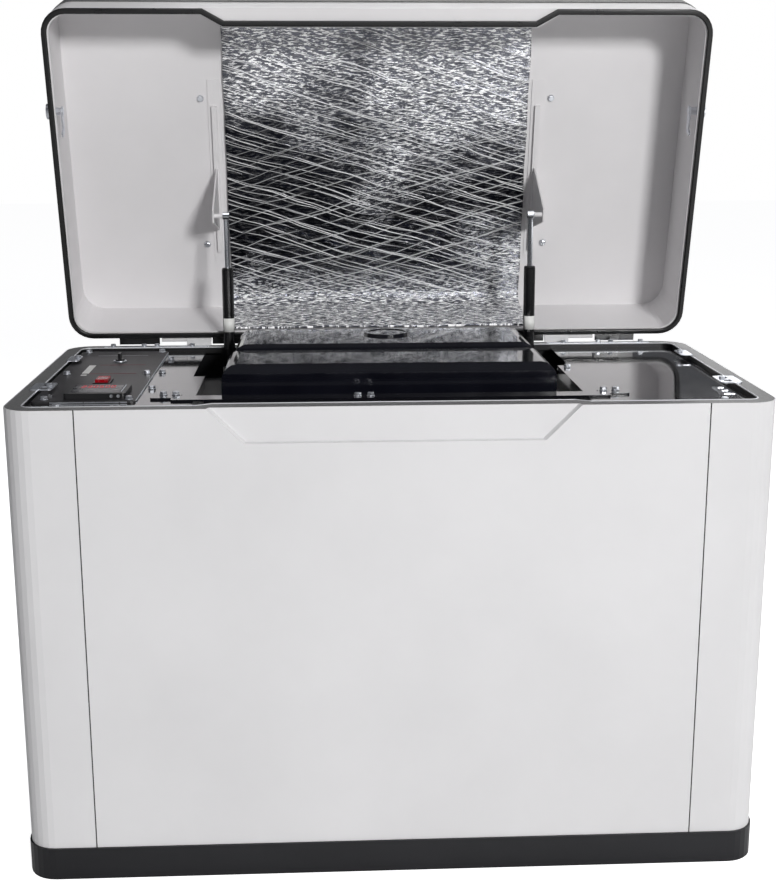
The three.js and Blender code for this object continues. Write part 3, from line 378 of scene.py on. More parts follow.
def crumple(x, s):
    """Height in metres of the creases at a place on the flat pad."""
    wander = noise.noise(Vector((x * 9, s * 9, 3.1))) * 0.5 + noise.noise(Vector((x * 23, s * 23, 7.7))) * 0.25
    rise = 0.0
    for angle, pitch, depth in ((17, 0.042, 0.0007), (-19, 0.046, 0.0006)):
        along = s * cos(radians(angle)) - x * sin(radians(angle))
        phase = (along + wander * pitch * 0.4) / pitch
        ridge = 1 - abs(2 * (phase % 1) - 1)
        rise += depth * (ridge**5)
    rise += 0.0022 * noise.noise(Vector((x * 6, s * 6, 1.3)))
    rise += 0.0008 * noise.noise(Vector((x * 30, s * 30, 5.3)))
    return rise


work = bmesh.new()
bmesh.ops.create_grid(work, x_segments=168, y_segments=220, size=0.5)
uv = work.loops.layers.uv.new("pad_place")
for vertex in work.verts:
    x = vertex.co.x * 2 * pad_half
    s = (vertex.co.y + 0.5) * pad_run
    edge_wave = 0.002 * noise.noise(Vector((s * 14, x * 2, 9.0)))
    x += edge_wave if abs(x) > pad_half * 0.97 else 0
    vertex.co = Vector((x, s, 0))
for face in work.faces:
    for loop in face.loops:
        loop[uv].uv = (loop.vert.co.x, loop.vert.co.y)
for vertex in work.verts:
    x, s, _ = vertex.co
    lift = pad_thick + crumple(x, s) * min(1.0, (pad_half - abs(x)) / 0.02 + 0.25)
    if s < roof_run:
        vertex.co = Vector((x, pad_front + s, pad_high - lift))
    elif s < roof_run + turn_radius * pi / 2:
        turn = (s - roof_run) / turn_radius
        reach = turn_radius - lift
        vertex.co = Vector(
            (x, pad_turn - turn_radius + reach * sin(turn), pad_high - turn_radius + reach * cos(turn))
        )
    else:
        down = s - roof_run - turn_radius * pi / 2
        vertex.co = Vector((x, pad_turn - lift, pad_high - turn_radius - down))
bmesh.ops.recalc_face_normals(work, faces=work.faces[:])
middle = min(work.faces, key=lambda f: (f.calc_center_median() - Vector((0, 0, pad_high))).length)
if middle.normal.z > 0:
    bmesh.ops.reverse_faces(work, faces=work.faces[:])
bmesh.ops.solidify(work, geom=work.faces[:], thickness=0.004)
bmesh.ops.transform(work, matrix=opened, verts=work.verts[:])

# Aluminised polyester film on bubble wrap: a near mirror. Rolling has set straight creases across it at 18 degrees
# both ways, 17 to 47 mm apart, with 3 mm crinkles between them. Its colour is a painted reflection: dark navy for
# the dim room, lighter towards the right, the front edge and the rear turn. White lines along the crease tops and
# white specks are painted highlights, and the white lines glow a little, because plain shading leaves them dull.
bubble_foil, tree, shader = start_material("aluminised_bubble_foil")
spot = add(tree, "ShaderNodeUVMap", uv_map="pad_place")
drift = add(tree, "ShaderNodeTexNoise", {"Vector": spot.outputs[0], "Scale": 1 / 0.2, "Detail": 2})
pull = add(
    tree, "ShaderNodeVectorMath", {0: drift.outputs["Color"], 1: (0.5, 0.5, 0.5)}, operation="SUBTRACT"
)
bend = add(tree, "ShaderNodeVectorMath", {0: pull.outputs[0], "Scale": 0.03}, operation="SCALE")
moved = add(tree, "ShaderNodeVectorMath", {0: spot.outputs[0], 1: bend.outputs[0]}, operation="ADD")
across = add(tree, "ShaderNodeSeparateXYZ", {"Vector": spot.outputs[0]})
both_ways = add(
    tree, "ShaderNodeMath", {0: across.outputs["X"], 1: 0.55, 2: across.outputs["Y"]},
    operation="MULTIPLY_ADD"
)
# Painted highlight: the creases of one slant fade towards the left and the front edge.
lower_right = add(
    tree, "ShaderNodeMapRange", {"Value": both_ways.outputs[0], 1: 0.0, 2: 0.4, 3: 0.35, 4: 1.0}
)
# The crease lines are painted highlights.
creases = None
for angle, pitch_mm, power, strong, offset in (
    (-17, 25, 22, 1.0, 0.0), (-19, 41, 30, 1.0, 0.3), (19, 27, 22, 0.8, 0.1), (16, 47, 26, 0.8, 0.6),
    (-15, 17, 16, 0.8, 0.2)
):
    turned = add(
        tree, "ShaderNodeMapping", {
            "Vector": moved.outputs[0], "Location": (offset, offset, 0), "Rotation": (0, 0, radians(angle))
        }
    )
    waves = add(
        tree, "ShaderNodeTexWave", {
            "Vector": turned.outputs[0], "Scale": 314 / pitch_mm, "Distortion": 0.5, "Detail": 2,
            "Detail Scale": 0.4
        },
        bands_direction="Y", wave_profile="TRI",
    )
    sharp = add(tree, "ShaderNodeMath", {0: waves.outputs["Fac"], 1: float(power)}, operation="POWER")
    dash_place = add(tree, "ShaderNodeMapping", {"Vector": turned.outputs[0], "Scale": (7.0, 46.0, 1.0)})
    dash = add(tree, "ShaderNodeTexNoise", {"Vector": dash_place.outputs[0], "Scale": 1.0, "Detail": 2})
    kept = add(tree, "ShaderNodeMapRange", {"Value": dash.outputs["Fac"], 1: 0.36, 2: 0.5})
    broken = add(tree, "ShaderNodeMath", {0: sharp.outputs[0], 1: kept.outputs[0]}, operation="MULTIPLY")
    part = add(tree, "ShaderNodeMath", {0: broken.outputs[0], 1: strong}, operation="MULTIPLY")
    if angle > 0:
        part = add(
            tree, "ShaderNodeMath", {0: part.outputs[0], 1: lower_right.outputs[0]}, operation="MULTIPLY"
        )
    if creases is None:
        creases = part
    else:
        creases = add(
            tree, "ShaderNodeMath", {0: creases.outputs[0], 1: part.outputs[0]}, operation="MAXIMUM"
        )
# Crinkle noise: it raises the bump, and its peaks give white specks, painted glints.
crinkle_place = add(
    tree, "ShaderNodeMapping",
    {"Vector": moved.outputs[0], "Rotation": (0, 0, radians(-17)), "Scale": (70.0, 330.0, 1.0)}
)
crinkle_noise = add(
    tree, "ShaderNodeTexNoise", {"Vector": crinkle_place.outputs[0], "Scale": 1.0, "Detail": 4, "Roughness": 0.7}
)
glint_specks = add(tree, "ShaderNodeMapRange", {"Value": crinkle_noise.outputs["Fac"], 1: 0.52, 2: 0.58})
# Painted reflection: lighter towards the right, the front edge and the rear turn, in random clouds.
tone = add(
    tree, "ShaderNodeTexNoise", {"Vector": spot.outputs[0], "Scale": 1 / 0.22, "Detail": 5, "Roughness": 0.55}
)
upper = add(tree, "ShaderNodeMapRange", {"Value": across.outputs["Y"], 1: 0.42, 2: 0.08, 3: 0.0, 4: 0.22})
cloudy = add(tree, "ShaderNodeMath", {0: tone.outputs["Fac"], 1: upper.outputs[0]}, operation="ADD")
lean = add(
    tree, "ShaderNodeMath", {0: across.outputs["X"], 1: 0.3, 2: cloudy.outputs[0]}, operation="MULTIPLY_ADD"
)
reflection_upper_right = add(tree, "ShaderNodeMapRange", {"Value": lean.outputs[0], 1: 0.5, 2: 0.72})
flap = add(tree, "ShaderNodeMapRange", {"Value": across.outputs["Y"], 1: 0.52, 2: 0.6})
reflection_mask = add(tree, "ShaderNodeMath", {0: reflection_upper_right.outputs[0], 1: flap.outputs[0]}, operation="MAXIMUM")
glint_patches = add(tree, "ShaderNodeMath", {0: glint_specks.outputs[0], 1: reflection_mask.outputs[0]}, operation="MULTIPLY")
faint = add(
    tree, "ShaderNodeMath", {0: glint_specks.outputs[0], 1: 0.12, 2: glint_patches.outputs[0]}, operation="MULTIPLY_ADD"
)
white = add(
    tree, "ShaderNodeMath", {0: creases.outputs[0], 1: faint.outputs[0]}, operation="MAXIMUM", use_clamp=True
)
# Painted reflection: dark navy film, grey where the reflection mask is high.
film = add(
    tree, "ShaderNodeMix", {0: reflection_mask.outputs[0], 6: linear("#191B24"), 7: linear("#7E8089")}, data_type="RGBA"
)
bright = add(
    tree, "ShaderNodeMix", {0: white.outputs[0], 6: film.outputs[2], 7: linear("#FFFFFF")}, data_type="RGBA"
)
tree.links.new(bright.outputs[2], shader.inputs["Base Color"])
tree.links.new(bright.outputs[2], shader.inputs["Emission Color"])
glint = add(tree, "ShaderNodeMapRange", {"Value": white.outputs[0], 1: 0.3, 2: 0.9, 3: 0.0, 4: 0.42})
tree.links.new(glint.outputs[0], shader.inputs["Emission Strength"])
metal = add(tree, "ShaderNodeMapRange", {"Value": white.outputs[0], 1: 0.0, 2: 0.6, 3: 1.0, 4: 0.05})
tree.links.new(metal.outputs[0], shader.inputs["Metallic"])
shine = add(tree, "ShaderNodeMapRange", {"Value": white.outputs[0], 1: 0.0, 2: 1.0, 3: 0.2, 4: 0.5})
tree.links.new(shine.outputs[0], shader.inputs["Roughness"])
height = add(
    tree, "ShaderNodeMath", {0: crinkle_noise.outputs["Fac"], 1: 0.7, 2: creases.outputs[0]}, operation="MULTIPLY_ADD"
)
bump = add(tree, "ShaderNodeBump", {"Height": height.outputs[0], "Strength": 0.8, "Distance": 0.0014})
tree.links.new(bump.outputs[0], shader.inputs["Normal"])
insulation = piece("lid_foil_pad", work, "lid", bubble_foil)
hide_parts("lid_insulation")
coat(bubble_foil, "lid_insulation")

# ---- Flange bolts ----
# M6 zinc-plated flange bolts hold the control panel, the deck, the crossbar, the hinges and the braces.
# Each head is a washer-faced hexagon, 10 mm across its flats on a 13 mm flange.

# Bright zinc plate over steel: bluish silver, satin, with faint passivation clouds 4 mm across.
zinc_plate, tree, shader = start_material("bright_zinc_plate")
place = add(tree, "ShaderNodeTexCoord")
cloud = add(tree, "ShaderNodeTexNoise", {"Vector": place.outputs["Object"], "Scale": 1000 / 4, "Detail": 4})
film = add(
    tree, "ShaderNodeMix", {0: cloud.outputs["Fac"], 6: linear("#F2F4F8"), 7: linear("#D4D8E0")},
    data_type="RGBA"
)
tree.links.new(film.outputs[2], shader.inputs["Base Color"])
shine = add(tree, "ShaderNodeMapRange", {"Value": cloud.outputs["Fac"], 1: 0.3, 2: 0.7, 3: 0.26, 4: 0.46})
tree.links.new(shine.outputs[0], shader.inputs["Roughness"])
shader.inputs["Metallic"].default_value = 1.0
coat(zinc_plate, "striker_left", "striker_right", "latch_left", "latch_right")


def add_bolt(work, foot, out=(0, 0, 1), size=1.0, twist=0.0):
    """One flange bolt head standing on foot, with its axis along out."""
    turn = Vector((0, 0, 1)).rotation_difference(Vector(out)).to_matrix().to_4x4()
    stand = Matrix.Translation(foot) @ turn @ Matrix.Rotation(twist, 4, "Z") @ Matrix.Scale(size, 4)
    outline = (
        (0.0, 0.0002), (0.0063, 0.0002), (0.0066, 0.0007), (0.0062, 0.0013), (0.0050, 0.0022), (0.0, 0.0024)
    )
    points = [work.verts.new((r, 0, z)) for r, z in outline]
    rims = [work.edges.new((points[k], points[k + 1])) for k in range(len(points) - 1)]
    bmesh.ops.spin(
        work, geom=points + rims, cent=(0, 0, 0), axis=(0, 0, 1), angle=2 * pi, steps=16, use_merge=True
    )
    hexagon = bmesh.ops.create_circle(
        work, cap_ends=True, segments=6, radius=0.00577, matrix=Matrix.Translation((0, 0, 0.0018))
    )["verts"]
    face = next(f for f in hexagon[0].link_faces if len(f.verts) == 6)
    grown = bmesh.ops.extrude_face_region(work, geom=[face])["geom"]
    top = [g for g in grown if isinstance(g, bmesh.types.BMVert)]
    bmesh.ops.translate(work, verts=top, vec=(0, 0, 0.0042))
    lid_face = next(f for f in grown if isinstance(f, bmesh.types.BMFace))
    bmesh.ops.bevel(
        work, geom=list(lid_face.edges), offset=0.0009, offset_type="OFFSET", affect="EDGES", segments=2,
        profile=0.5, material=-1,
    )
    return stand


def bolt_set(name, body, places, out=(0, 0, 1), size=1.0):
    work = bmesh.new()
    for number, foot in enumerate(places):
        one = bmesh.new()
        stand = add_bolt(one, foot, out, size, twist=0.35 + 1.7 * number)
        bmesh.ops.remove_doubles(one, verts=one.verts[:], dist=0.00001)
        bmesh.ops.recalc_face_normals(one, faces=one.faces[:])
        bmesh.ops.transform(one, matrix=stand, verts=one.verts[:])
        keep = bpy.data.meshes.new("one_bolt")
        one.to_mesh(keep)
        one.free()
        work.from_mesh(keep)
        bpy.data.meshes.remove(keep)
    return piece(name, work, body, zinc_plate, smooth=False)


deck_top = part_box("deck_plate_left")[1].z
panel_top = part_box("control_panel")[1].z
rim_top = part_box("top_rim")[1].z
panel_bolts = (
    (-0.5515, -0.201), (-0.5565, 0.026), (-0.5565, 0.258), (-0.4175, -0.205), (-0.4175, 0.026), (-0.4175, 0.258)
)
bolt_set("control_panel_bolts", "cabinet", [(x, y, panel_top) for x, y in panel_bolts])
bolt_set("left_deck_bolts", "cabinet", [(-0.394, y, deck_top) for y in (0.192, 0.049, -0.101)])
bolt_set("right_deck_bolts", "cabinet", [(0.330, 0.064, deck_top)])
bolt_set(
    "crossbar_bolts", "cabinet", [(side * x, -0.172, panel_top) for side in (-1, 1) for x in (0.347, 0.367)]
)
bolt_set("crossbar_middle_bolts", "cabinet", [(x, -0.198, panel_top) for x in (-0.055, -0.034)])
bolt_set("lid_brace_bolts", "lid", [
    opened @ Vector((side * 0.340, y, 0.9503)) for side in (-1, 1) for y in (-0.119, 0.172)
],
         out=opened.to_3x3() @ Vector((0, 0, -1)))

# ---- Hinge plates ----
# A long pressed steel strip on each side of the rear rim carries the hinge, held by four bolts.
# The strips and the knuckle sleeves are bright zinc.


def flat_plate(work, x0, x1, y0, y1, z0, z1, round_by=0.002):
    """A sheet part with its upright corners rounded, in an empty mesh."""
    made = bmesh.ops.create_cube(work, size=1)["verts"]
    bmesh.ops.scale(work, vec=(x1 - x0, y1 - y0, z1 - z0), verts=made)
    bmesh.ops.translate(work, vec=((x0 + x1) / 2, (y0 + y1) / 2, (z0 + z1) / 2), verts=made)
    upright = [e for e in work.edges if abs((e.verts[0].co - e.verts[1].co).z) > (z1 - z0) * 0.9]
    bmesh.ops.bevel(
        work, geom=upright, offset=round_by, offset_type="OFFSET", affect="EDGES", segments=4, profile=0.5,
        material=-1,
    )


def soften(work, by=0.0004):
    """Break every sharp edge with a small round."""
    sharp = [e for e in work.edges if e.calc_face_angle() > radians(60)]
    bmesh.ops.bevel(
        work, geom=sharp, offset=by, offset_type="OFFSET", affect="EDGES", segments=2, profile=0.5, material=-1
    )


for side, label in ((-1, "left"), (1, "right")):
    work = bmesh.new()
    x0, x1 = sorted((side * 0.330, side * 0.532))
    flat_plate(work, x0, x1, 0.2838, 0.2972, rim_top + 0.0001, rim_top + 0.0018)
    soften(work)
    piece(f"hinge_plate_{label}", work, "cabinet", zinc_plate, smooth=False)
    bolt_set(f"hinge_bolts_{label}", "cabinet",
             [(side * x, 0.2905, rim_top + 0.0018) for x in (0.515, 0.456, 0.431, 0.363)], size=0.86)

# ---- Rim edge ----
# The rim's folded inner edge, drawn as bright steel all round the opening, a painted highlight along the fold.
# It is a rolled bead about 2 mm thick along the fold, jogging inwards behind the finger recess.


def bead_along(name, work, thick, body, material):
    """A thin round bead along the edges left in a mesh."""
    line = bpy.data.meshes.new(name)
    work.to_mesh(line)
    work.free()
    made = bpy.data.objects.new(name, line)
    bpy.context.scene.collection.objects.link(made)
    chosen = {"selected_objects": [made], "selected_editable_objects": [made]}
    with bpy.context.temp_override(object=made, active_object=made, **chosen):
        bpy.ops.object.convert(target="CURVE")
        made.data.bevel_depth = thick / 2
        made.data.bevel_resolution = 1
        made.data.use_fill_caps = True
        bpy.ops.object.convert(target="MESH")
    made.data.materials.clear()
    made.data.materials.append(material)
    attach(made, body)
    return made


# Bright steel edge, a painted highlight along the fold: near white, part metallic, slightly scratched along its
# length.
edge_highlight = powder_coat("highlight_steel_edge", "#F6F7F9", "#D9DBDF", 0.4, 2.0, 0.02)
edge_highlight.node_tree.nodes["Principled BSDF"].inputs["Metallic"].default_value = 0.45

work = merged_copy("top_rim")
rim_low, rim_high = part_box("top_rim")
kept = set()
for edge in work.edges:
    if min(v.co.z for v in edge.verts) < rim_high.z - 0.0002 or len(edge.link_faces) != 2:
        continue
    side_face = min(edge.link_faces, key=lambda f: abs(f.normal.z))
    mid = (edge.verts[0].co + edge.verts[1].co) / 2
    inner = abs(mid.x) < rim_high.x - 0.02 and rim_low.y + 0.02 < mid.y < rim_high.y - 0.015
    if abs(side_face.normal.z) < 0.1 and inner:
        kept.add(edge)
bmesh.ops.delete(work, geom=[e for e in work.edges if e not in kept], context="EDGES")
bmesh.ops.delete(work, geom=[v for v in work.verts if not v.link_edges], context="VERTS")
bead_along("rim_highlight_edge", work, 0.0024, "cabinet", edge_highlight)

# ---- Strikers and rim brackets ----
# The two latches close on pressed zinc strikers, each held by a bolt on its inner end.
# A second pair of plain zinc brackets sits behind them, with one bolt each, and a black gusset in each front corner.

for side, label in ((-1, "left"), (1, "right")):
    bolt_set(f"striker_bolt_{label}", "cabinet", [(side * 0.5585, -0.119, rim_top + 0.0023)], size=0.8)
    work = bmesh.new()
    x0, x1 = sorted((side * 0.577, side * 0.5545))
    flat_plate(work, x0, x1, 0.128, 0.184, rim_top + 0.0003, rim_top + 0.0021, round_by=0.005)
    soften(work)
    piece(f"rim_bracket_{label}", work, "cabinet", zinc_plate, smooth=False)
    bolt_set(f"rim_bracket_bolts_{label}", "cabinet", [(side * 0.5585, 0.156, rim_top + 0.0021)], size=0.9)
    work = bmesh.new()
    x0, x1 = sorted((side * 0.508, side * 0.538))
    flat_plate(work, x0, x1, -0.274, -0.244, deck_top + 0.0002, deck_top + 0.0016, round_by=0.006)
    piece(f"corner_gusset_{label}", work, "cabinet", black_powder_coat, smooth=False)
    bolt_set(f"corner_gusset_bolt_{label}", "cabinet", [(side * 0.523, -0.259, deck_top + 0.0016)])

# ---- Rear shade strips ----
# Strips of black rubber along the lid's rear edge, between and beside the hinges, that close the gap to the rim: a
# dark sheet standing in for the shade in that gap, a painted shade.
# They are glued to the lid and fold with it, clearing the rim by 2 mm when the lid is shut.

# Painted shade: black strips that darken the gap behind the lid.
for number, (x0, x1) in enumerate(((-0.505, -0.427), (-0.325, 0.325), (0.427, 0.505))):
    work = bmesh.new()
    flat_plate(
        work, x0, x1, hinge_at.y - 0.0088, hinge_at.y - 0.0074, hinge_at.z - 0.0080, hinge_at.z + 0.0085,
        round_by=0.0006
    )
    soften(work)
    piece(f"rear_shade_strip_{number + 1}", work, "lid", epdm_rubber, smooth=False)

# ---- Seam tapes ----
# Strips of black foam rubber stuck behind the two front seams, so that no light comes through them.
# Each laps 8 mm on to both panels.

for side, label in ((-1, "left"), (1, "right")):
    work = bmesh.new()
    x0, x1 = sorted((side * 0.479, side * 0.495))
    flat_plate(work, x0, x1, -0.3082, -0.3066, 0.064, 0.764, round_by=0.0006)
    soften(work)
    piece(f"seam_tape_{label}", work, "cabinet", epdm_rubber, smooth=False)

# ---- Control panel ----
# A 3 mm steel plate in fine-textured dark grey coat, with two thin red printed lines and two blank white stickers.
# Its front and right edges carry bright zinc strips, painted highlights where those edges face the light, and a
# bright line crosses its back.

# Fine-textured powder coat, charcoal: the texture is 0.8 mm and drawn at 1.2 mm so that it shows.
charcoal_coat = powder_coat("charcoal_texture_coat", "#302F31", "#29282A", 0.42, 1.2, 0.08)
coat(charcoal_coat, "control_panel")

# Screen-printed ink, red: a dull even film, drawn 0.2 mm thick, speckled where the coat's texture shows through.
red_ink = powder_coat("red_screen_ink", "#8C3A40", "#6E2E34", 0.6, 1.2, 0.03)

panel_low, panel_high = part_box("control_panel")
ink_layer = (panel_top + 0.0001, panel_top + 0.0003)
sticker_layer = (panel_top + 0.0001, panel_top + 0.0004)
edge_highlight_layer = (panel_top - 0.0026, panel_top - 0.0006)


def strip(name, x0, x1, y0, y1, z0, z1, body, material, slot_name, round_by=0.0004):
    """A flat piece with rounded corners, laid on another."""
    work = bmesh.new()
    flat_plate(work, x0, x1, y0, y1, z0, z1, round_by=round_by)
    return piece(name, work, body, material, smooth=False)


strip("panel_line_upper", -0.513, -0.432, 0.1165, 0.1185, *ink_layer, "cabinet", red_ink, "red_plastic")
strip("panel_line_lower", -0.519, -0.437, 0.0285, 0.0305, *ink_layer, "cabinet", red_ink, "red_plastic")
# Painted highlights: bright zinc strips along the front and right edges, which face the light.
strip("panel_highlight_right_edge", panel_high.x + 0.0002, panel_high.x + 0.0014, panel_low.y + 0.012,
      panel_high.y - 0.012, *edge_highlight_layer, "cabinet", zinc_plate, "bright_zinc", round_by=0.0002)
strip("panel_line_top", -0.533, -0.440, 0.2205, 0.2218, *ink_layer, "cabinet", zinc_plate, "bright_zinc")
strip("panel_highlight_front_edge", panel_low.x + 0.03, panel_high.x - 0.012, panel_low.y - 0.0012,
      panel_low.y - 0.0002, *edge_highlight_layer, "cabinet", zinc_plate, "bright_zinc", round_by=0.0002)

# Vinyl sticker, white: satin film with a slightly yellowed edge.
white_vinyl = powder_coat("white_vinyl_label", "#F4F4F2", "#E6E6E2", 0.4, 2.5, 0.03)
for name, y0, y1, x0, x1 in (
    ("panel_label", 0.032, 0.115, -0.532, -0.520), ("panel_label_small", 0.012, 0.021, -0.531, -0.521)
):
    strip(name, x0, x1, y0, y1, *sticker_layer, "cabinet", white_vinyl, "lid_light_paint", round_by=0.001)

# ---- Key switch and stop button ----
# A black nylon key knob in a bright zinc collar, and a red button in a black bezel.
# Both stand on the control panel and turn or sink with their own joints.

# Moulded nylon, black: satin, with a faint 1 mm spark-eroded texture. The battery case is as dark and as dull.
black_nylon = powder_coat("black_moulded_nylon", "#101012", "#19191B", 0.32, 1.0, 0.04)
coat(black_nylon, "key_switch", "battery")

key_low, key_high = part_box("key_switch")
key_middle = (key_low + key_high) / 2


def turned_ring(work, profile, steps, x=0, y=0):
    """Turn a closed outline of (radius, height) points round an upright axis."""
    points = [work.verts.new((x + r, y, z)) for r, z in profile]
    rims = [work.edges.new((points[k], points[(k + 1) % len(points)])) for k in range(len(points))]
    bmesh.ops.spin(
        work, geom=points + rims, cent=(x, y, 0), axis=(0, 0, 1), angle=2 * pi, steps=steps, use_merge=True
    )
    bmesh.ops.remove_doubles(work, verts=work.verts[:], dist=0.00001)
    bmesh.ops.recalc_face_normals(work, faces=work.faces[:])


inner, outer, shoulder = 0.0089, 0.0122, 0.0006
z0, z1 = panel_top + 0.0001, panel_top + 0.0024
profile = (
    (inner, z0), (outer, z0), (outer, z1 - shoulder), (outer - shoulder, z1), (inner + shoulder, z1),
    (inner, z1 - shoulder)
)
work = bmesh.new()
turned_ring(work, profile, 40, key_middle.x, key_middle.y)
piece("key_collar", work, "cabinet", zinc_plate)

# Polycarbonate, red: glossy and slightly translucent, so the edges glow a little lighter.
red_rocker, tree, shader = start_material("red_polycarbonate")
place = add(tree, "ShaderNodeTexCoord")
cloud = add(tree, "ShaderNodeTexNoise", {"Vector": place.outputs["Object"], "Scale": 1000 / 6, "Detail": 3})
red = add(
    tree, "ShaderNodeMix", {0: cloud.outputs["Fac"], 6: linear("#B01420"), 7: linear("#8F0D18")},
    data_type="RGBA"
)
tree.links.new(red.outputs[2], shader.inputs["Base Color"])
wipe = add(tree, "ShaderNodeMapRange", {"Value": cloud.outputs["Fac"], 1: 0.3, 2: 0.7, 3: 0.18, 4: 0.3})
tree.links.new(wipe.outputs[0], shader.inputs["Roughness"])
shader.inputs["IOR"].default_value = 1.58
shader.inputs["Subsurface Weight"].default_value = 0.1
shader.inputs["Subsurface Radius"].default_value = (0.004, 0.001, 0.001)
shader.inputs["Subsurface Scale"].default_value = 1.0
coat(red_rocker, "rocker_switch")

button_low, button_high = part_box("rocker_switch")
work = merged_copy("rocker_switch")
top_edges = [e for e in work.edges if min(v.co.z for v in e.verts) > button_high.z - 0.0001]
bmesh.ops.bevel(
    work, geom=top_edges, offset=0.0014, offset_type="OFFSET", affect="EDGES", segments=3, profile=0.5,
    material=-1
)
dished = max(work.faces, key=lambda f: f.calc_center_median().z + f.calc_area())
bmesh.ops.inset_region(work, faces=[dished], thickness=0.0028, depth=-0.0007)
button = piece("stop_button_cap", work, "stop_button", red_rocker, smooth=False)
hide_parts("rocker_switch")

gap, frame_out = 0.0006, 0.004
for x0, x1, y0, y1, part in (
    (
        button_low.x - frame_out, button_high.x + frame_out, button_high.y + gap, button_high.y + frame_out,
        "back"
    ),
    (
        button_low.x - frame_out, button_high.x + frame_out, button_low.y - frame_out, button_low.y - gap,
        "front"
    ),
    (button_low.x - frame_out, button_low.x - gap, button_low.y - gap, button_high.y + gap, "left"),
    (button_high.x + gap, button_high.x + frame_out, button_low.y - gap, button_high.y + gap, "right"),
):
    strip(f"stop_button_bezel_{part}", x0, x1, y0, y1, panel_top + 0.0001, panel_top + 0.0028, "cabinet",
          black_nylon, "control_plastic")

# ---- Meter module ----
# A black ABS display housing on the control panel, with a smoked window and red lit numbers.
# The window fills the well; a zinc trim stands at its right and two small keys are on the front.

# Moulded ABS, black: satin from a spark-eroded tool, with rubbed corners.
black_abs = powder_coat("black_moulded_abs", "#141416", "#1E1E20", 0.36, 1.0, 0.05)
coat(black_abs, "meter_module")
meter_low, meter_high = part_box("meter_module")

# Acrylic, smoked: dark grey and glossy, with faint wipe marks.
smoked_acrylic, tree, shader = start_material("smoked_acrylic")
place = add(tree, "ShaderNodeTexCoord")
wiped = add(tree, "ShaderNodeMapping", {"Vector": place.outputs["Object"], "Scale": (30.0, 260.0, 30.0)})
marks = add(tree, "ShaderNodeTexNoise", {"Vector": wiped.outputs[0], "Scale": 1.0, "Detail": 3})
smoke = add(
    tree, "ShaderNodeMix", {0: marks.outputs["Fac"], 6: linear("#2A2C31"), 7: linear("#3A3D43")},
    data_type="RGBA"
)
tree.links.new(smoke.outputs[2], shader.inputs["Base Color"])
clean = add(tree, "ShaderNodeMapRange", {"Value": marks.outputs["Fac"], 1: 0.3, 2: 0.7, 3: 0.16, 4: 0.34})
tree.links.new(clean.outputs[0], shader.inputs["Roughness"])
shader.inputs["IOR"].default_value = 1.49
strip("meter_window", meter_low.x + 0.0085, meter_high.x - 0.0105, meter_low.y + 0.0105,
      meter_high.y - 0.0105, meter_high.z - 0.0014, meter_high.z - 0.0002, "cabinet", smoked_acrylic, "meter_face", round_by=0.002)

# Red light-emitting digits: seven bars to a figure, each bar lit evenly behind the smoked window.
digit_light, tree, shader = start_material("red_led_segment")
place = add(tree, "ShaderNodeTexCoord")
patch = add(tree, "ShaderNodeTexNoise", {"Vector": place.outputs["Object"], "Scale": 1000 / 3, "Detail": 2})
glow = add(
    tree, "ShaderNodeMix", {0: patch.outputs["Fac"], 6: linear("#A8303A"), 7: linear("#D05058")},
    data_type="RGBA"
)
tree.links.new(glow.outputs[2], shader.inputs["Base Color"])
tree.links.new(glow.outputs[2], shader.inputs["Emission Color"])
shader.inputs["Emission Strength"].default_value = 0.55
shader.inputs["Roughness"].default_value = 0.4
segments_of = {"0": "abcdef", "2": "abged", "3": "abgcd", "5": "afgcd"}
bars = {
    "a": (0.5, 1.0, 0), "b": (1.0, 0.75, 1), "c": (1.0, 0.25, 1), "d": (0.5, 0.0, 0),
    "e": (0.0, 0.25, 1), "f": (0.0, 0.75, 1), "g": (0.5, 0.5, 0),
}
figure_pitch, figure_wide, figure_tall = 0.0095, 0.0056, 0.0155
work = bmesh.new()
for place_number, figure in enumerate("230500"):
    left = meter_low.x + 0.021 + place_number * figure_pitch
    for name in segments_of[figure]:
        u, v, upright = bars[name]
        made = bmesh.ops.create_cube(work, size=1)["verts"]
        wide, tall = (0.0011, 0.0075) if upright else (0.0050, 0.0013)
        bmesh.ops.scale(work, vec=(wide, tall, 0.0003), verts=made)
        middle = (left + u * figure_wide, meter_high.y - 0.030 + v * figure_tall, meter_high.z + 0.00005)
        bmesh.ops.translate(work, vec=middle, verts=made)
piece("meter_figures", work, "cabinet", digit_light, smooth=False)
strip("meter_trim", meter_high.x - 0.0088, meter_high.x - 0.0068, meter_low.y + 0.012, meter_high.y - 0.012,
      meter_high.z + 0.00002, meter_high.z + 0.0006, "cabinet", zinc_plate, "bright_zinc")
for x in (-0.446, -0.435):
    work = bmesh.new()
    facing = Matrix.Translation(
        (x, meter_low.y - 0.0008, meter_low.z + 0.0045)
    ) @ Matrix.Rotation(radians(90), 4, "X")
    bmesh.ops.create_cone(
        work, cap_ends=True, segments=20, radius1=0.0028, radius2=0.0024, depth=0.0014, matrix=facing
    )
    piece(f"meter_key_{abs(int(x * 1000))}", work, "cabinet", zinc_plate, smooth=False)

# ---- Gas struts ----
# Nitrogen springs, 22 mm black tube and 10 mm hard-chromed rod, with ball sockets at both ends.
# Each tube carries a blank white sticker half way up its front.

# Stoved enamel over steel tube, black: semi-gloss, drawn-tube lines run along it.
strut_enamel = powder_coat("strut_black_enamel", "#0A0A0C", "#121214", 0.24, 4.0, 0.02)
coat(strut_enamel, "strut_cylinder_left", "strut_cylinder_right")

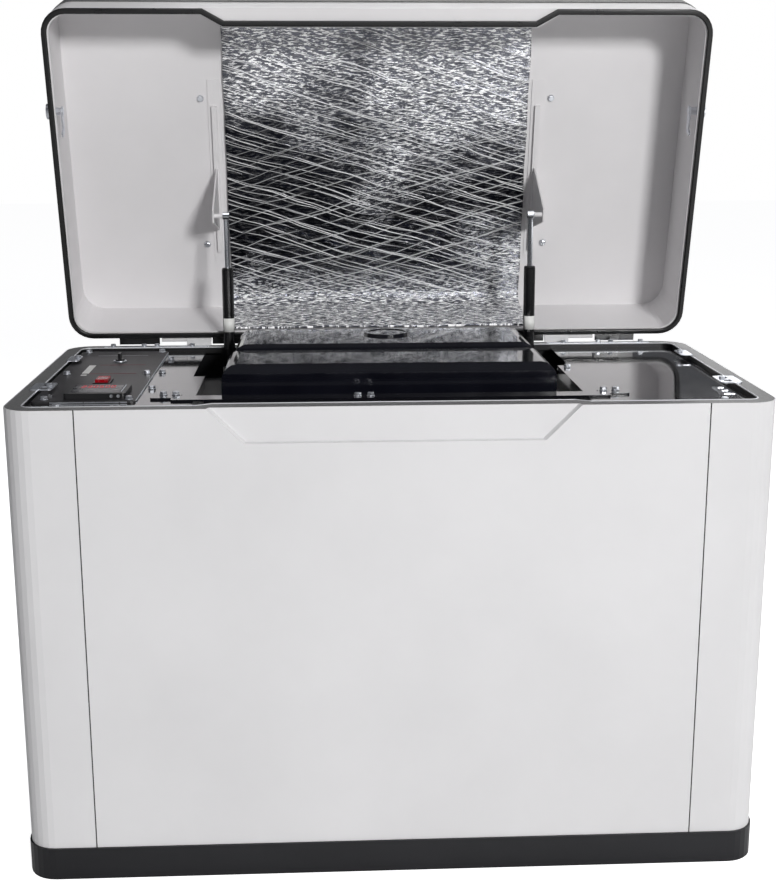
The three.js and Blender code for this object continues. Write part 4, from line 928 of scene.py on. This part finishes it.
# Hard chrome on ground steel: a clear mirror, with faint grinding rings 1 mm apart round the rod.
hard_chrome, tree, shader = start_material("hard_chrome")
place = add(tree, "ShaderNodeTexCoord")
rings = add(
    tree, "ShaderNodeTexWave", {"Vector": place.outputs["Object"], "Scale": 314 / 1.0, "Distortion": 0.6},
    bands_direction="Z"
)
polish = add(tree, "ShaderNodeMapRange", {"Value": rings.outputs["Fac"], 3: 0.1, 4: 0.2})
tree.links.new(polish.outputs[0], shader.inputs["Roughness"])
stain = add(tree, "ShaderNodeTexNoise", {"Vector": place.outputs["Object"], "Scale": 1 / 0.02, "Detail": 3})
plating = add(
    tree, "ShaderNodeMix", {0: stain.outputs["Fac"], 6: linear("#D6D8DC"), 7: linear("#BEC1C7")},
    data_type="RGBA"
)
tree.links.new(plating.outputs[2], shader.inputs["Base Color"])
shader.inputs["Metallic"].default_value = 1.0
coat(hard_chrome, "strut_rod_left", "strut_rod_right")

foot = Vector((0, 0.270, 0.730))
stud = opened @ Vector((0, hinge_at.y - 0.243, hinge_at.z + 0.015))
strut_line = (stud - foot).normalized()
label_radius, label_foot, label_tall = 0.01115, 0.082, 0.026
for side, label in ((-1, "left"), (1, "right")):
    turn = Vector((0, 0, 1)).rotation_difference(strut_line).to_matrix().to_4x4()
    base = Matrix.Translation((side * 0.290, foot.y, foot.z)) @ turn
    work = bmesh.new()
    angles = [radians(-150 + 12 * k) for k in range(13)]
    sleeve = [work.verts.new((label_radius * cos(a), label_radius * sin(a), label_foot)) for a in angles]
    for a, b in zip(sleeve, sleeve[1:]):
        work.edges.new((a, b))
    lifted = bmesh.ops.extrude_edge_only(work, edges=work.edges[:])["geom"]
    bmesh.ops.translate(
        work, verts=[g for g in lifted if isinstance(g, bmesh.types.BMVert)], vec=(0, 0, label_tall)
    )
    bmesh.ops.recalc_face_normals(work, faces=work.faces[:])
    if sum((f.normal.xy.dot(f.calc_center_median().xy) for f in work.faces)) < 0:
        bmesh.ops.reverse_faces(work, faces=work.faces[:])
    bmesh.ops.solidify(work, geom=work.faces[:], thickness=0.0001)
    bmesh.ops.transform(work, matrix=base, verts=work.verts[:])
    piece(f"strut_label_{label}", work, f"strut_cylinder_{label}", white_vinyl)
    work = bmesh.new()
    profile = ((0.0056, 0.1986), (0.0108, 0.1986), (0.0108, 0.2004), (0.0092, 0.2022), (0.0056, 0.2026))
    turned_ring(work, profile, 28)
    bmesh.ops.transform(work, matrix=base @ Matrix.Translation((0, 0, 0.0018)), verts=work.verts[:])
    piece(f"strut_gland_{label}", work, f"strut_cylinder_{label}", black_nylon)

# ---- Engine ----
# Air-cooled vee twin: sand-cast aluminium crankcase and finned barrels, pressed steel rocker covers and starter.
# The alternator behind it has a cast housing and end bell, all shot-blasted dull grey.


def cast_metal(name, light, dark, roughness, grain_mm):
    """Cast or blasted metal: cloudy tone and a sandy surface."""
    material, tree, shader = start_material(name)
    place = add(tree, "ShaderNodeTexCoord")
    cloud = add(
        tree, "ShaderNodeTexNoise",
        {"Vector": place.outputs["Object"], "Scale": 1 / 0.06, "Detail": 6, "Roughness": 0.6}
    )
    blend = add(
        tree, "ShaderNodeMix", {0: cloud.outputs["Fac"], 6: linear(light), 7: linear(dark)}, data_type="RGBA"
    )
    tree.links.new(blend.outputs[2], shader.inputs["Base Color"])
    dull = add(
        tree, "ShaderNodeMapRange",
        {"Value": cloud.outputs["Fac"], 1: 0.3, 2: 0.7, 3: roughness - 0.06, 4: roughness + 0.08}
    )
    tree.links.new(dull.outputs[0], shader.inputs["Roughness"])
    sand = add(
        tree, "ShaderNodeTexNoise", {"Vector": place.outputs["Object"], "Scale": 1000 / grain_mm, "Detail": 3}
    )
    bump = add(tree, "ShaderNodeBump", {"Height": sand.outputs["Fac"], "Strength": 0.5, "Distance": 0.0003})
    tree.links.new(bump.outputs[0], shader.inputs["Normal"])
    shader.inputs["Metallic"].default_value = 1.0
    return material


# Sand-cast aluminium, blasted: dull light grey with a 1.5 mm sandy grain.
cast_aluminium = cast_metal("sand_cast_aluminium", "#B9BABC", "#8F9093", 0.52, 1.5)
coat(cast_aluminium, "crankcase", "cylinder_front", "cylinder_rear", "intake_manifold", "gas_mixer",
     "gas_regulator", "alternator_housing", "alternator_end_bell", "flywheel_fan")

# Turned and drawn steel, oiled: smoother and darker than the castings, with 0.5 mm tool marks drawn at 1 mm.
bare_steel = cast_metal("oiled_bare_steel", "#A3A5A9", "#74767B", 0.34, 1.0)
coat(bare_steel, "fuel_pipe", "crankshaft", "alternator_rotor", "exhaust_pipe_front", "exhaust_pipe_rear")

# Aluminised steel sheet: even pale grey with 8 mm spangle, slightly heat-browned.
aluminised_sheet = cast_metal("aluminised_steel_sheet", "#AFAEAB", "#8C8577", 0.42, 8.0)
coat(aluminised_sheet, "muffler")

# Machined brass: warm yellow, dulled by handling.
machined_brass = cast_metal("machined_brass", "#C9A860", "#A0823F", 0.3, 1.0)
coat(machined_brass, "gas_inlet")

# Stoved engine enamel, black: semi-gloss on pressed steel covers and the starter.
coat(black_powder_coat, "rocker_cover_front", "rocker_cover_rear", "starter_motor")

# Baked enamel, cream: glossy on the drawn steel can of the filter.
filter_enamel = powder_coat("filter_can_enamel", "#D8D5CB", "#C9C5B8", 0.28, 4.0, 0.03)
coat(filter_enamel, "oil_filter")
